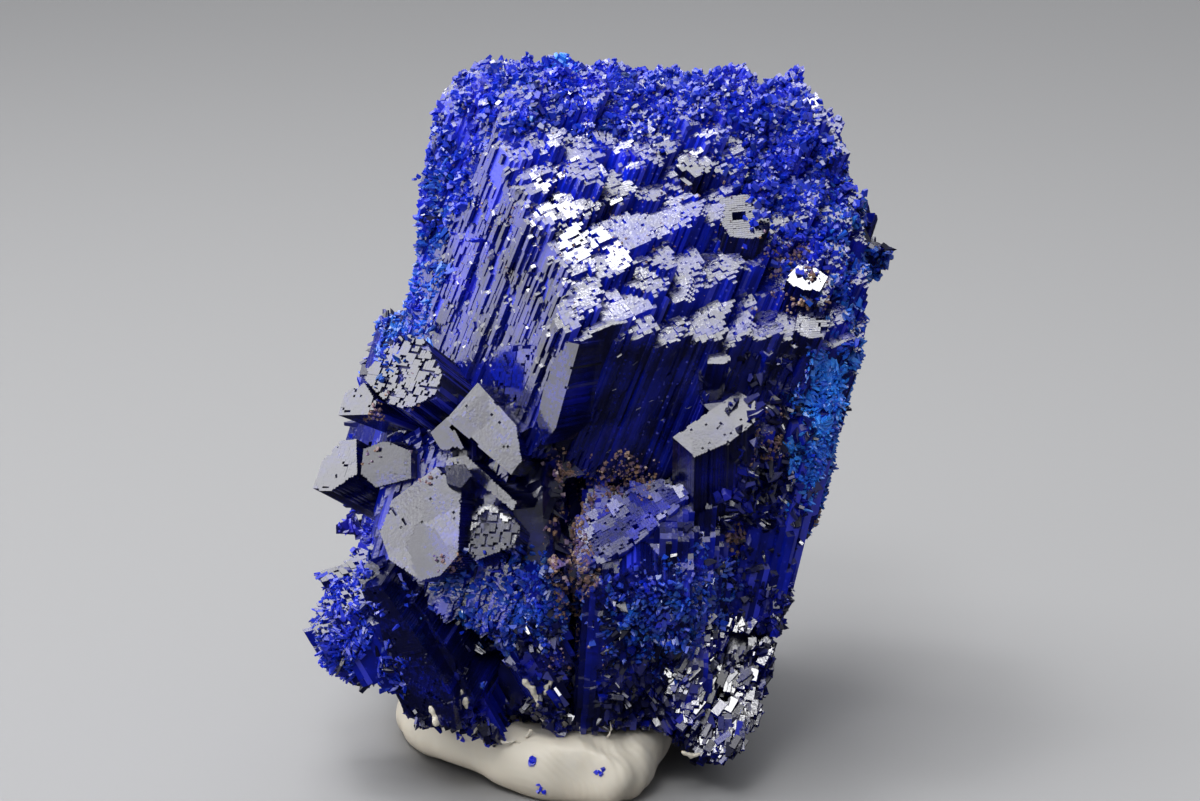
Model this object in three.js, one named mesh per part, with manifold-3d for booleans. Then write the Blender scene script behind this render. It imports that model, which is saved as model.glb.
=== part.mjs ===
// An azurite specimen: one cluster of crystals grown together, standing in a wad of mineral tack.
// Millimetres, Z up. The wad lies flat on Z = 0 and the object is centred on X = Y = 0.
import * as THREE from 'three';
import { mergeVertices } from 'three/addons/utils/BufferGeometryUtils.js';
import { ConvexGeometry } from 'three/addons/geometries/ConvexGeometry.js';
import Module from 'manifold-3d';

const wasm = await Module();
wasm.setup();

// Driving dimensions, mm
const tack = { height: 5.8, roundness: 1.5, clearance: 0.35 };
const steps = { top: 1.5, foot: 2.2 };         // how much neighbouring columns differ in length
const overlap = { least: 1.06, spread: 0.2 };  // column width as a share of the pitch
const inset = 0.5;                             // how far columns stay inside a wall, as a share of the pitch
const shortest = 3.0;                          // a column shorter than this isn't grown
const seed = 11;

// Azurite's three face directions in one growth: the two prism faces and the sloping tip.
const habits = {
  upper: { left: [-0.75, -0.6, 0.28], front: [0.3, -0.95, -0.14], tip: [-0.2, -0.6, 0.78] },
  right: { left: [-0.82, -0.55, 0.18], front: [0.25, -0.96, -0.06], tip: [0.05, -0.7, 0.71] },
  sheen: { left: [-0.99, -0.1, 0.05], front: [0.1, -0.99, -0.1], tip: [-0.07, -0.83, 0.55] },
  leftSlab: { left: [-0.85, -0.4, 0.35], front: [-0.3, -0.9, 0.3], tip: [-0.5, -0.55, 0.67] },
  blades: { left: [-0.84, -0.3, -0.46], front: [-0.1, -0.99, -0.1], tip: [-0.3, -0.5, 0.81] },
  rear: { left: [-0.9, 0.35, 0.25], front: [0.35, 0.92, -0.2], tip: [0.1, 0.5, 0.86] },
};

// A growth is a bundle of parallel columns that fills the space inside its walls. Each wall is an outward
// direction and a point that it passes through.
const growths = [
  {
    name: 'upper', habit: 'upper', anchor: [3, 0, 42], pitch: [4.5, 4.4],
    walls: [
      [[-0.75, -0.6, 0.28], [-1.1, -14, 41.4]],
      [[0.3, -0.95, -0.14], [-1.1, -14, 41.4]],
      [[0.05, -0.7, 0.71], [-1, -14, 41.6]],
      [[0.32, -0.75, 0.58], [21, -6, 40.3]],
      [[0.1, -0.05, 1], [0, 9, 62.8]],
      [[0, 0.62, 0.78], [0, 15, 62]],
      [[0.1, 0.98, 0.15], [0, 23, 45]],
      [[-0.75, -0.1, 0.66], [-13.8, 8, 59]],
      [[-0.98, 0.15, 0.1], [-17, 7, 42]],
      [[0.87, 0, 0.49], [21, 5, 58.5]],
      [[0.99, 0.12, 0], [24.8, 0, 46]],
      [[0.96, 0.12, -0.25], [24, -3, 36]],
      [[-0.25, -0.4, -0.88], [0, -13, 29.6]],
    ],
  },
  {
    name: 'lower right', habit: 'right', anchor: [15, 0, 22], pitch: [4.6, 4.8],
    walls: [
      [[0.96, 0.2, -0.2], [19.6, -4, 20]],
      [[0.15, -0.98, 0], [15, -9, 20]],
      [[-0.98, -0.2, 0.1], [10.5, -6, 20]],
      [[0.1, 0.97, -0.2], [10, 14, 22]],
      [[0, -0.3, -0.95], [16, -8, 12.6]],
      [[0, 0, 1], [15, 0, 36]],
    ],
  },
  {
    name: 'sheen block', habit: 'sheen', anchor: [3, -8, 18], pitch: [4.4, 5.0],
    walls: [
      [[-1, -0.05, 0.05], [-1, -13, 20]],
      [[-0.07, -0.83, 0.55], [2.6, -13.4, 24.6]],
      [[-0.1, -0.4, 0.9], [6.5, -11.5, 28.6]],
      [[0.1, -0.99, -0.1], [2, -15.2, 18]],
      [[0.8, -0.6, 0], [11.5, -11.5, 20]],
      [[0, 0.1, -1], [2, -14, 5.4]],
      [[0, 1, 0], [3, 4, 18]],
    ],
  },
  {
    name: 'bottom right lump', habit: 'right', anchor: [13, -7, 9], pitch: [3.4, 3.6],
    walls: [
      [[0.05, -0.7, 0.71], [16.3, -11.4, 12]],
      [[-0.2, -0.6, 0.78], [12, -10, 14.6]],
      [[0.85, 0.1, -0.5], [17, -9, 9]],
      [[0.6, -0.2, -0.77], [13, -8.5, 2.8]],
      [[-0.5, -0.3, -0.8], [8, -8.5, 2.4]],
      [[-0.95, -0.3, 0], [6.6, -8, 8]],
      [[0.2, -0.97, 0.1], [13, -13.3, 8]],
      [[0.2, 0.97, -0.1], [13, 3, 8]],
    ],
  },
  {
    name: 'left shoulder', habit: 'leftSlab', anchor: [-12, -2, 26], pitch: [4.6, 4.6],
    walls: [
      [[-0.3, -0.93, 0.2], [-12, -12.6, 26]],
      [[-0.95, -0.1, 0.1], [-19.5, -5, 24]],
      [[-0.45, -0.4, 0.8], [-17.5, -5, 34]],
      [[-0.2, -0.3, 0.93], [-10, -12, 31.5]],
      [[1, 0, 0], [0, 0, 24]],
      [[-0.2, 0.96, 0.1], [-10, 15, 24]],
      [[-0.3, -0.3, -0.9], [-15, -9, 15]],
    ],
  },
  {
    name: 'lower blades', habit: 'blades', anchor: [-10, -6, 13], pitch: [3.8, 4.2],
    walls: [
      [[-0.85, -0.2, -0.45], [-17.6, -9, 9.5]],
      [[-0.3, -0.3, -0.9], [-14, -11, 5.4]],
      [[-0.1, -0.99, 0], [-12, -14, 14]],
      [[-0.3, -0.6, 0.74], [-14, -13, 20]],
      [[0, 0, 1], [-10, 0, 22]],
      [[1, -0.1, 0], [-1, -12, 14]],
      [[0, 0, -1], [-6, -10, 4.6]],
      [[-0.2, 0.97, -0.1], [-8, 12, 14]],
    ],
  },
  {
    name: 'rear right', habit: 'rear', anchor: [20, 20, 43], pitch: [4.6, 4.6],
    walls: [
      [[0.95, 0.2, 0.1], [28.2, 24, 44]],
      [[0.1, 0.3, 0.95], [26, 24, 48]],
      [[0.3, 0.95, 0.05], [20, 28.5, 38]],
      [[0.35, 0.1, -0.93], [26, 24, 38.5]],
      [[-1, 0, 0], [6, 20, 36]],
      [[0, -1, 0], [18, 8, 36]],
    ],
  },
  {
    name: 'rear middle', habit: 'rear', anchor: [2, 14, 28], pitch: [6, 6],
    walls: [
      [[0.97, 0.1, -0.25], [20.2, 14, 30]],
      [[-0.97, 0.15, 0.15], [-15.5, 18, 28]],
      [[0, 0.5, 0.86], [2, 20, 44]],
      [[0.1, 0.98, 0], [2, 25, 28]],
      [[0, 0.35, -0.94], [2, 12, 6.5]],
      [[0, -1, 0], [2, 4, 28]],
    ],
  },
  {
    name: 'rear left', habit: 'rear', anchor: [-13, 20, 26], pitch: [4.6, 4.6],
    walls: [
      [[-0.97, 0.1, 0.2], [-20.4, 24, 32.5]],
      [[-0.3, 0.3, 0.9], [-16, 22, 36.4]],
      [[-0.2, 0.97, 0.1], [-10, 28.5, 28]],
      [[-0.3, 0.3, -0.9], [-15, 22, 20]],
      [[1, 0, 0], [-3, 18, 28]],
      [[0, -1, 0], [-8, 8, 28]],
    ],
  },
];

// Single crystals that stand out of the bundles: the corners of the flat outer face, and how far and which
// way the crystal runs back into the cluster.
const crystals = {
  greyRhomb: {
    face: [[-9.6, -13.4, 37.7], [-12.3, -13.5, 34.5], [-6.7, -17.1, 30.6], [-5.8, -17, 31.8], [-6.3, -15.8, 34.6]],
    run: [5, 9, 1],
  },
  thinPlate: {
    face: [[-12.2, -13, 34.6], [-13.7, -13, 33.2], [-12.8, -13.8, 31.9], [-10.8, -14.3, 32.1]],
    run: [5, 8, 0],
  },
  underPlate: {
    face: [[-12.3, -12.3, 30.7], [-10.7, -12.8, 31.1], [-6.3, -15.8, 27.7], [-6.6, -15.9, 27], [-10.1, -13.7, 29.3]],
    run: [4, 9, -2],
  },
  whiteCap: {
    face: [[-12.4, -14.7, 30.7], [-10.8, -15, 30.9], [-10.1, -15.8, 30.2], [-11, -16.3, 29.2], [-12.2, -15.7, 29.4]],
    run: [1, 7, -4],
  },
  greySlab: {
    face: [[-17.1, -13.6, 27.3], [-13.2, -13.1, 30.1], [-11.1, -14.7, 28.5], [-11.3, -17.4, 23.5],
      [-12.8, -17.8, 21.8], [-14.5, -17.6, 21.3], [-17.2, -16.1, 22.7], [-18.1, -14.8, 24.8]],
    run: [4, 9, -3],
  },
  crackedSlab: {
    face: [[-10.7, -12.3, 27.2], [-7.8, -13.1, 27.3], [-6, -15.1, 25.3], [-6.6, -16.1, 23.9],
      [-9.9, -16.2, 22.7], [-12.4, -14.2, 24.3]],
    run: [3, 9, -5],
  },
  shoulderCap: {
    face: [[-16.5, -5, 40.1], [-14.8, -6.4, 40.2], [-12.7, -10.7, 37.7], [-13.5, -11.7, 36.1], [-16, -11, 34.8],
      [-17.8, -9.2, 35], [-20.1, -5.8, 36.5], [-18, -5.2, 38.7]],
    run: [6, 8, -7],
  },
  shoulderHorn: {
    face: [[-22.1, -8.1, 33.5], [-21.6, -6.9, 35.1], [-19.9, -7, 36.3], [-18.6, -9.4, 35], [-18.9, -10.1, 34.1]],
    run: [7, 8, -5],
  },
  leftHorn: {
    face: [[-24.5, -8.3, 26.7], [-23.7, -6.7, 28.9], [-22, -6.2, 30.7], [-20.6, -7, 31], [-20.4, -9.6, 28.6],
      [-22.7, -9.4, 27]],
    run: [8, 8, -7],
  },
  leftPane: {
    face: [[-20, -9.6, 28.6], [-19.8, -9, 30.6], [-17.9, -9.3, 31.5], [-15.6, -10.3, 30.8], [-15.6, -11.1, 28.6],
      [-18.7, -10.4, 27.6]],
    run: [4, 9, -2],
  },
  leftStud: {
    face: [[-20.5, -11.7, 20], [-19.3, -11.7, 21.3], [-18.4, -12.1, 20.9], [-18.3, -12.7, 19.4], [-20, -12.1, 19.3]],
    run: [6, 8, 0],
  },
  ridgeBlade: {
    face: [[-0.9, -14.8, 41.4], [-2.9, -15.6, 34.3], [-4, -15.2, 32.7], [-4.5, -14.1, 34.6], [-3.6, -13.5, 38.7],
      [-2.1, -13.8, 41.4]],
    run: [5, 6, -0.5],
  },
  frontLedge: {
    face: [[7.2, -12.6, 32.7], [8.1, -12.2, 33.3], [12.9, -10.2, 36.1], [14.3, -11.4, 35.6], [14.2, -13.1, 34.2],
      [12.1, -14.1, 32.7], [9.1, -14.6, 31.5]],
    run: [0, 4, -9],
  },
  smallLedge: {
    face: [[10.3, -10.1, 39.5], [11.5, -10.2, 39.7], [12.4, -11.2, 39.3], [11.6, -11.6, 39], [10.2, -11.2, 38.9]],
    run: [-1, 3, -6],
  },
  pitBlock: {
    face: [[11.4, 1.4, 50.9], [13.8, 1.2, 51.3], [15.4, -0.1, 50.7], [15.9, -2.4, 49.1], [14.7, -3.3, 48.1],
      [12.3, -2.8, 48.3], [11, -0.4, 50]],
    run: [-2.5, 2, -9],
  },
  brightTip: {
    face: [[17.4, -3.6, 44.8], [18.3, -2.7, 45.7], [19.7, -3.3, 45.6], [20.7, -4.4, 45.1], [20, -5.4, 44.1],
      [18.2, -4.7, 44.2]],
    run: [-2.5, 3, -8],
  },
  lowerTip: {
    face: [[18.4, -5.4, 42.6], [19.8, -5.7, 42.7], [21, -7.3, 41.8], [20.4, -8.5, 40.7], [19.2, -8.4, 40.5],
      [17.9, -7.5, 40.8]],
    run: [-2.5, 4, -8],
  },
  leftSpur: {
    face: [[-23.5, -9, 15.4], [-22.2, -8, 17.4], [-19.4, -10.6, 18], [-18.4, -12.8, 15.5], [-20.4, -11, 10.5],
      [-22.8, -9, 11.6]],
    run: [7, 9, 0],
  },
  roundLump: {
    face: [[-11.5, -15, 18.5], [-10, -14.6, 21], [-6.6, -14.2, 22], [-3.6, -14.6, 20.4], [-2.4, -15.4, 18.3],
      [-3.2, -16, 15.4], [-6.2, -16.2, 14], [-10, -15.8, 14.6]],
    run: [0.5, 9, 0.5],
  },
};

// The buried heart that all the growths start from.
const heart = [
  [-14, -4, 12], [-8, -10, 9], [12, -5, 7], [-12, 0, 48], [18, 1, 50], [-12, 18, 12], [18, 18, 24],
  [-9, 17, 48], [15, 17, 50], [2, -9, 14], [14, -5, 30], [-2, -8, 44], [6, 16, 7], [-8, 14, 7],
];

// The wad's outline where it lies on the table: a pressed roll with one end folded over.
const wadOutline = [
  [-16.4, 6.5], [-15.6, 0], [-12.6, -6], [-8, -11], [-3, -14.3], [1.6, -15.2], [3.6, -13.6], [5.4, -8],
  [6.2, 0], [5, 10], [-1, 16], [-8, 16], [-14, 12],
];

function randomFrom(start) {  // the same numbers on every run
  let state = start;
  return () => {
    state = (Math.imul(state, 1664525) + 1013904223) >>> 0;
    return state / 4294967296;
  };
}

function vector(list) {
  return new THREE.Vector3(...list);
}

function toManifold(geometry) {
  const merged = geometry.clone();
  for (const name of Object.keys(merged.attributes)) {
    if (name !== 'position') {
      merged.deleteAttribute(name);
    }
  }
  const welded = mergeVertices(merged, 1e-5);
  return new wasm.Manifold(new wasm.Mesh({
    numProp: 3,
    vertProperties: new Float32Array(welded.attributes.position.array),
    triVerts: new Uint32Array(welded.index.array),
  }));
}

function toGeometry(manifold) {
  const mesh = manifold.getMesh();
  const geometry = new THREE.BufferGeometry();
  geometry.setAttribute('position', new THREE.BufferAttribute(mesh.vertProperties, 3));
  geometry.setIndex(new THREE.BufferAttribute(mesh.triVerts, 1));
  const faceted = geometry.toNonIndexed();
  faceted.computeVertexNormals();
  return faceted;
}

// The unit edges of a habit's cell: across and back lie in the tip face, along is the column's length.
function cellOf(habit) {
  const left = vector(habit.left).normalize();
  const front = vector(habit.front).normalize();
  const tip = vector(habit.tip).normalize();
  const cell = {
    across: tip.clone().cross(front).normalize(),
    back: left.clone().cross(tip).normalize(),
    along: left.clone().cross(front).normalize(),
  };
  if (cell.across.clone().cross(cell.back).dot(cell.along) < 0) {
    cell.back.negate();
  }
  return cell;
}

// Where the line through a column's middle enters and leaves the growth's walls.
function clipColumn(middle, cell, pitch, walls) {
  let low = -80;
  let high = 80;
  for (const [direction, through] of walls) {
    const normal = vector(direction).normalize();
    const width = pitch[0] * Math.abs(normal.dot(cell.across)) + pitch[1] * Math.abs(normal.dot(cell.back));
    const distance = normal.dot(vector(through).sub(middle)) - width * inset;
    const rate = normal.dot(cell.along);
    if (Math.abs(rate) < 1e-6) {
      if (distance < 0) {
        return null;
      }
    } else if (rate > 0) {
      high = Math.min(high, distance / rate);
    } else {
      low = Math.max(low, distance / rate);
    }
  }
  return high - low > shortest ? [low, high] : null;
}

function column(middle, cell, low, high, widths) {
  const geometry = new THREE.BoxGeometry(1, 1, 1);
  const centre = middle.clone().addScaledVector(cell.along, (low + high) / 2);
  const place = new THREE.Matrix4().makeBasis(
    cell.across.clone().multiplyScalar(widths[0]),
    cell.back.clone().multiplyScalar(widths[1]),
    cell.along.clone().multiplyScalar(high - low),
  );
  place.setPosition(centre);
  return toManifold(geometry.applyMatrix4(place));
}

function grow(growth, random) {
  const cell = cellOf(habits[growth.habit]);
  const columns = [];
  const reach = 14;
  for (let i = -reach; i <= reach; i += 1) {
    for (let j = -reach; j <= reach; j += 1) {
      const widths = growth.pitch.map((pitch) => pitch * (overlap.least + overlap.spread * random()));
      const topStep = steps.top * random();
      const footStep = steps.foot * random();
      const middle = vector(growth.anchor)
        .addScaledVector(cell.across, i * growth.pitch[0])
        .addScaledVector(cell.back, j * growth.pitch[1]);
      const ends = clipColumn(middle, cell, growth.pitch, growth.walls);
      if (ends) {
        columns.push(column(middle, cell, ends[0] + footStep, ends[1] - topStep, widths));
      }
    }
  }
  return columns;
}

// A crystal runs back from its outer face and narrows a little on the way.
function crystal({ face, run }) {
  const corners = face.map(vector);
  const middle = corners.reduce((sum, corner) => sum.add(corner), new THREE.Vector3()).divideScalar(corners.length);
  const buried = corners.map((corner) => corner.clone().lerp(middle, 0.12).add(vector(run)));
  return toManifold(new ConvexGeometry([...corners, ...buried]));
}

function buildAzurite() {
  const random = randomFrom(seed);
  const solids = [toManifold(new ConvexGeometry(heart.map(vector)))];
  for (const growth of growths) {
    solids.push(...grow(growth, random));
  }
  for (const one of Object.values(crystals)) {
    solids.push(crystal(one));
  }
  const whole = solids.reduce((sum, solid) => sum.add(solid));
  // The outer shell alone, so that no pocket stays sealed between the columns.
  return whole.decompose().reduce((most, shell) => (shell.volume() > most.volume() ? shell : most));
}

// The wad is a rounded pad, pressed in by the crystals that stand in it.
function buildWad(azurite) {
  const outline = new THREE.Shape(wadOutline.map(([x, y]) => new THREE.Vector2(x, y)));
  const pad = new THREE.ExtrudeGeometry(outline, {
    depth: tack.height - 2 * tack.roundness,
    bevelThickness: tack.roundness,
    bevelSize: tack.roundness,
    bevelSegments: 2,
  });
  pad.translate(0, 0, tack.roundness);
  let wad = toManifold(pad);
  const gap = tack.clearance;
  for (const shift of [[0, 0, 0], [0, 0, -gap], [gap, gap, 0], [-gap, gap, 0], [0, -gap, 0]]) {
    wad = wad.subtract(azurite.translate(shift));
  }
  return wad;
}

function piece(name, manifold, look) {
  const mesh = new THREE.Mesh(toGeometry(manifold), new THREE.MeshStandardMaterial(look));
  mesh.name = name;
  return mesh;
}

const azurite = buildAzurite();
const wad = buildWad(azurite);

const specimen = new THREE.Group();
specimen.name = 'azurite-specimen';
specimen.add(piece('azurite_cluster', azurite, { color: 0x1420a8, roughness: 0.25, metalness: 0 }));
specimen.add(piece('mineral_tack', wad, { color: 0xe6dfd0, roughness: 0.6, metalness: 0 }));

// Stand the object on Z = 0 with its box centred on the origin.
const box = new THREE.Box3().setFromObject(specimen);
const middle = box.getCenter(new THREE.Vector3());
specimen.position.set(-middle.x, -middle.y, -box.min.z);

export default specimen;
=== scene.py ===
import math

import bmesh
import bpy
import numpy as np
from mathutils import Matrix, Vector
from mathutils.bvhtree import BVHTree


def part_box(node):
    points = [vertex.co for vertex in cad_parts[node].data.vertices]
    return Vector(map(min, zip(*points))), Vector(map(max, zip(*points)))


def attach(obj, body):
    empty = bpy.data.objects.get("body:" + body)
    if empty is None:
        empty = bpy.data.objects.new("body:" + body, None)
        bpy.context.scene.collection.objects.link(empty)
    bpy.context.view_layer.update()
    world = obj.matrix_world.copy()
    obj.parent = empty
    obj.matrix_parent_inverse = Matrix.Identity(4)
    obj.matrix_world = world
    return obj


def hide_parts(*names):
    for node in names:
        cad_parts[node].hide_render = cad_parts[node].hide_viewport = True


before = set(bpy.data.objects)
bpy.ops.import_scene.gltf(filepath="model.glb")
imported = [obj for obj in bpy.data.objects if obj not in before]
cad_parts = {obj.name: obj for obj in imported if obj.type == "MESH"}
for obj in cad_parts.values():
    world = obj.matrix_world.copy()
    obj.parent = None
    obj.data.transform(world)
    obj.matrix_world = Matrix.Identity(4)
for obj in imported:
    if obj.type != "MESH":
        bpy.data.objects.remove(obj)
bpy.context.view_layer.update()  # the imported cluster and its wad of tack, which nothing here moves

mm = 0.001
wadLow = (-17.94, -16.8, 0)  # the wad's lowest corner in the growth's own millimetres
home = np.array(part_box("mineral_tack")[0]) / mm - np.array(wadLow)  # growth millimetres to the frame's

# Azurite's face directions in each growth: the two prism faces and the sloping tip.
habits = {
    "upper": ((-0.75, -0.6, 0.28), (0.3, -0.95, -0.14), (-0.2, -0.6, 0.78)),
    "right": ((-0.82, -0.55, 0.18), (0.25, -0.96, -0.06), (0.05, -0.7, 0.71)),
    "sheen": ((-0.99, -0.1, 0.05), (0.1, -0.99, -0.1), (0.1, -0.78, 0.62)),
    "leftSlab": ((-0.85, -0.4, 0.35), (-0.3, -0.9, 0.3), (-0.5, -0.55, 0.67)),
    "blades": ((-0.84, -0.3, -0.46), (-0.1, -0.99, -0.1), (-0.3, -0.5, 0.81)),
    "glitter": ((-0.98, -0.2, 0), (0.14, -0.67, -0.73), (-0.086, -0.803, 0.59)),
    "rear": ((-0.9, 0.35, 0.25), (0.35, 0.92, -0.2), (0.1, 0.5, 0.86)),
}

upperGrowth = {
    "habit": "upper", "anchor": (3, 0, 42), "pitch": (0.39, 0.375), "wobble": 0.45, "wave": 6.0,
    "inset": 0.35,
    "blockSize": 9.0, "blockDrop": 2.0, "blockTilt": 0.11, "columnTilt": 0.014, "leanRange": (1.9, 4.4),
    "plateSize": 3.6, "plateDrop": 0.9, "stepsFrom": 45.0, "pits": 0.09, "pitDepth": 0.4,
    "roughFrom": 53.0, "roughSpan": 7.0, "roughDrop": 0.9, "roughTilt": 0.22,
    "skinLength": 1.25, "skinShift": 0.11, "skinGaps": 0.46, "calmFront": True, "tone": 0.55, "pepper": 1.0,
    "flashes": (  # patches whose tips all face the same way: place, radius
        ((-3.5, -0.5, 52.8), 2.3), ((-2.6, -4, 50), 2.7), ((-0.8, -5.7, 48.8), 2.7), ((1.6, -6.6, 48.2), 1.4),
        ((2.6, -7.6, 47.5), 1.3), ((-2.3, -9.2, 45.5), 1.2), ((-3, 3.5, 56.5), 1.0), ((-0.5, 3.5, 56.9), 1.0),
        ((0.9, 5.2, 58.4), 0.9), ((-1.6, 1, 54.4), 1.0), ((3.7, 0.7, 54.9), 1.0), ((7.9, 1, 55.5), 0.8),
        ((11.7, -1, 54.1), 0.9), ((8.6, -1.5, 53.4), 0.9), ((2.3, -3, 51.6), 1.1), ((5.1, -1.5, 53), 1.0),
        ((-7, 0, 55.5), 1.0),
    ),
    # how far their tips lean, and how that changes along x and y
    "flashLean": ((0.046, 0.0053, 0.003), (0.048, -0.0019, 0.004)),
    "walls": (
        ((-0.75, -0.6, 0.28), (-1.1, -14, 41.4)),
        ((0.3, -0.95, -0.14), (-1.1, -14, 41.4)),
        ((0.05, -0.7, 0.71), (-1, -14, 41.6)),
        ((0.32, -0.75, 0.58), (21, -6, 40.3)),
        ((0.1, -0.05, 1), (0, 9, 61.5)),
        ((0, 0.62, 0.78), (0, 15, 60.9)),
        ((0.1, 0.98, 0.15), (0, 23, 45)),
        ((-0.75, -0.1, 0.66), (-13.4, 8, 58)),
        ((-0.98, 0.15, 0.1), (-17, 7, 42)),
        ((0.87, 0, 0.49), (21, 5, 58.5)),
        ((0.99, 0.12, 0), (24.8, 0, 46)),
        ((0.96, 0.12, -0.25), (24, -3, 36)),
        ((-0.25, -0.4, -0.88), (0, -13, 29.6)),
    ),
}

# What every growth of columns has unless it says otherwise, in millimetres and radians.
growthShared = {
    "span": 50, "sideRate": 0.02, "shortest": 1.5, "neighbours": 4, "wobble": 0.55, "wave": 4.0, "inset": 0.6,
    "blockSize": 3.5, "blockDrop": 1.3, "blockTilt": 0.05, "columnTilt": 0.02, "leanRange": (0, 6.28),
    "plateSize": 1.6, "plateDrop": 0.4, "stepsFrom": 0.0, "stepsSpan": 9, "leastSteps": 0.35,
    "pits": 0.15, "pitDepth": 0.5, "pitLean": 0.15, "pitTone": 0.75, "pitDull": 0.8,
    "roughFrom": 90.0, "roughSpan": 8.0, "roughDrop": 1.0, "roughTilt": 0.10,
    "skinDepth": 1.05, "skinLength": 2.4, "skinShift": 0.16, "skinGaps": 0.3, "fullSkin": 44,
    # skinTones cut the outer columns' tone, first on the calm front face, where it is painted shade, then
    # elsewhere
    "skinTones": (0.4, 0.42), "underDepth": 2.2, "underDull": 0.7, "underTone": 0.2, "calmFront": False,
    "flashes": (), "flashSpread": 0.25, "flashLean": ((0, 0, 0), (0, 0, 0)), "tone": 0.4, "pepper": 0.4,
}

lowerGrowths = {
    "lower right": {
        "habit": "right", "anchor": (15, 0, 22), "pitch": (0.62, 0.6),
        "walls": (
            ((0.95, 0.1, -0.31), (19.1, -4, 20)),
            ((0.15, -0.98, 0), (15, -9, 20)),
            ((-0.98, -0.2, 0.1), (10.5, -6, 20)),
            ((0.1, 0.97, -0.2), (10, 14, 22)),
            ((0, -0.3, -0.95), (16, -8, 12.6)),
            ((0, 0, 1), (15, 0, 36)),
        ),
    },
    "sheen block": {
        "habit": "sheen", "anchor": (3, -8, 18), "pitch": (0.5, 0.5),
        "walls": (
            ((-1, -0.05, 0.05), (-1, -13, 20)),
            ((-0.07, -0.83, 0.55), (2.6, -13.4, 24.6)),
            ((-0.1, -0.4, 0.9), (6.5, -11.5, 28.6)),
            ((0.1, -0.99, -0.1), (2, -15.2, 18)),
            ((0.8, -0.6, 0), (11.5, -11.5, 20)),
            ((0.98, 0.1, -0.1), (12.5, -8, 18)),
            ((0, 0.1, -1), (2, -14, 5.4)),
            ((0, 1, 0), (3, 4, 18)),
        ),
    },
    "bottom right lump": {
        "habit": "glitter", "anchor": (13, -7, 9), "pitch": (0.36, 0.46), "blockSize": 5.0, "blockDrop": 1.0,
        "plateSize": 3.2, "plateDrop": 0.8, "blockTilt": 0.035, "columnTilt": 0.05, "pits": 0.05,
        "tone": 0.15,
        "walls": (
            ((-0.12, -0.76, 0.62), (14.5, -10.6, 10)),
            ((-0.2, -0.6, 0.78), (12, -9.5, 14.8)),
            ((0.93, 0.1, -0.33), (17.2, -9, 12)),
            ((0.6, -0.2, -0.77), (13, -8.5, 2.8)),
            ((-0.5, -0.3, -0.8), (8, -8.5, 2.4)),
            ((-0.95, -0.3, 0), (7.6, -10, 8)),
            ((0.2, -0.97, 0.1), (13, -14.6, 6)),
            ((0.2, 0.97, -0.1), (13, 3, 8)),
        ),
    },
    "left shoulder": {
        "habit": "leftSlab", "anchor": (-12, -2, 26), "pitch": (0.55, 0.55),
        "walls": (
            ((-0.3, -0.93, 0.2), (-12, -12.6, 26)),
            ((-0.95, -0.1, 0.1), (-19.5, -5, 24)),
            ((-0.45, -0.4, 0.8), (-17.5, -5, 34)),
            ((-0.2, -0.3, 0.93), (-10, -12, 31.5)),
            ((1, 0, 0), (-6.3, 0, 24)),
            ((-0.2, 0.96, 0.1), (-10, 15, 24)),
            ((-0.3, -0.3, -0.9), (-15, -9, 15)),
        ),
    },
    "lower blades": {
        "habit": "blades", "anchor": (-10, -6, 13), "pitch": (0.6, 0.6),
        "walls": (
            ((-0.85, -0.2, -0.45), (-17.6, -9, 9.5)),
            ((-0.3, -0.3, -0.9), (-14, -11, 5.4)),
            ((-0.1, -0.99, 0), (-12, -14, 14)),
            ((-0.3, -0.6, 0.74), (-14, -13, 20)),
            ((-0.8, 0, 0.6), (-21.5, -9, 15.5)),
            ((0, 0, 1), (-10, 0, 22)),
            ((1, -0.1, 0), (-1, -12, 14)),
            ((0, 0, -1), (-6, -10, 4.6)),
            ((-0.2, 0.97, -0.1), (-8, 12, 14)),
        ),
    },
    "spur": {
        "habit": "blades", "anchor": (-21, -9, 14), "pitch": (0.5, 0.5), "inset": 0.2,
        "walls": (
            ((-0.97, -0.1, 0.2), (-24, -9, 14)),
            ((-0.35, -0.3, 0.9), (-21.5, -10, 18)),
            ((-0.3, 0, -0.95), (-22, -9, 9.8)),
            ((0, -1, 0), (0, -12.6, 0)),
            ((0, 1, 0), (0, -3, 0)),
            ((1, 0, 0), (-16, 0, 0)),
        ),
    },
}

rearGrowths = {
    "rear right": {
        "habit": "rear", "anchor": (20, 20, 43), "pitch": (0.95, 0.95),
        "walls": (
            ((0.95, 0.2, 0.1), (27, 24, 44)),
            ((0.1, 0.3, 0.95), (26, 24, 46.8)),
            ((0.3, 0.95, 0.05), (20, 28.5, 38)),
            ((0.35, 0.1, -0.93), (26, 24, 42.3)),
            ((-1, 0, 0), (6, 20, 36)),
            ((0, -1, 0), (18, 17, 36)),
        ),
    },
    "rear middle": {
        "habit": "rear", "anchor": (2, 14, 28), "pitch": (1.2, 1.2),
        "walls": (
            ((0.97, 0.1, -0.25), (20.2, 14, 30)),
            ((-0.97, 0.15, 0.15), (-15.5, 18, 28)),
            ((0, 0.5, 0.86), (2, 20, 44)),
            ((0.1, 0.98, 0), (2, 25, 28)),
            ((0, 0.35, -0.94), (2, 12, 6.5)),
            ((0, -1, 0), (2, 4, 28)),
        ),
    },
    "rear left": {
        "habit": "rear", "anchor": (-13, 20, 26), "pitch": (0.95, 0.95),
        "walls": (
            ((-0.97, 0.1, 0.2), (-20.4, 24, 32.5)),
            ((-0.3, 0.3, 0.9), (-16, 22, 36.4)),
            ((-0.2, 0.97, 0.1), (-10, 28.5, 28)),
            ((-0.3, 0.3, -0.9), (-15, 22, 20)),
            ((1, 0, 0), (-3, 18, 28)),
            ((0, -1, 0), (-8, 8, 28)),
        ),
    },
}

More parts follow.
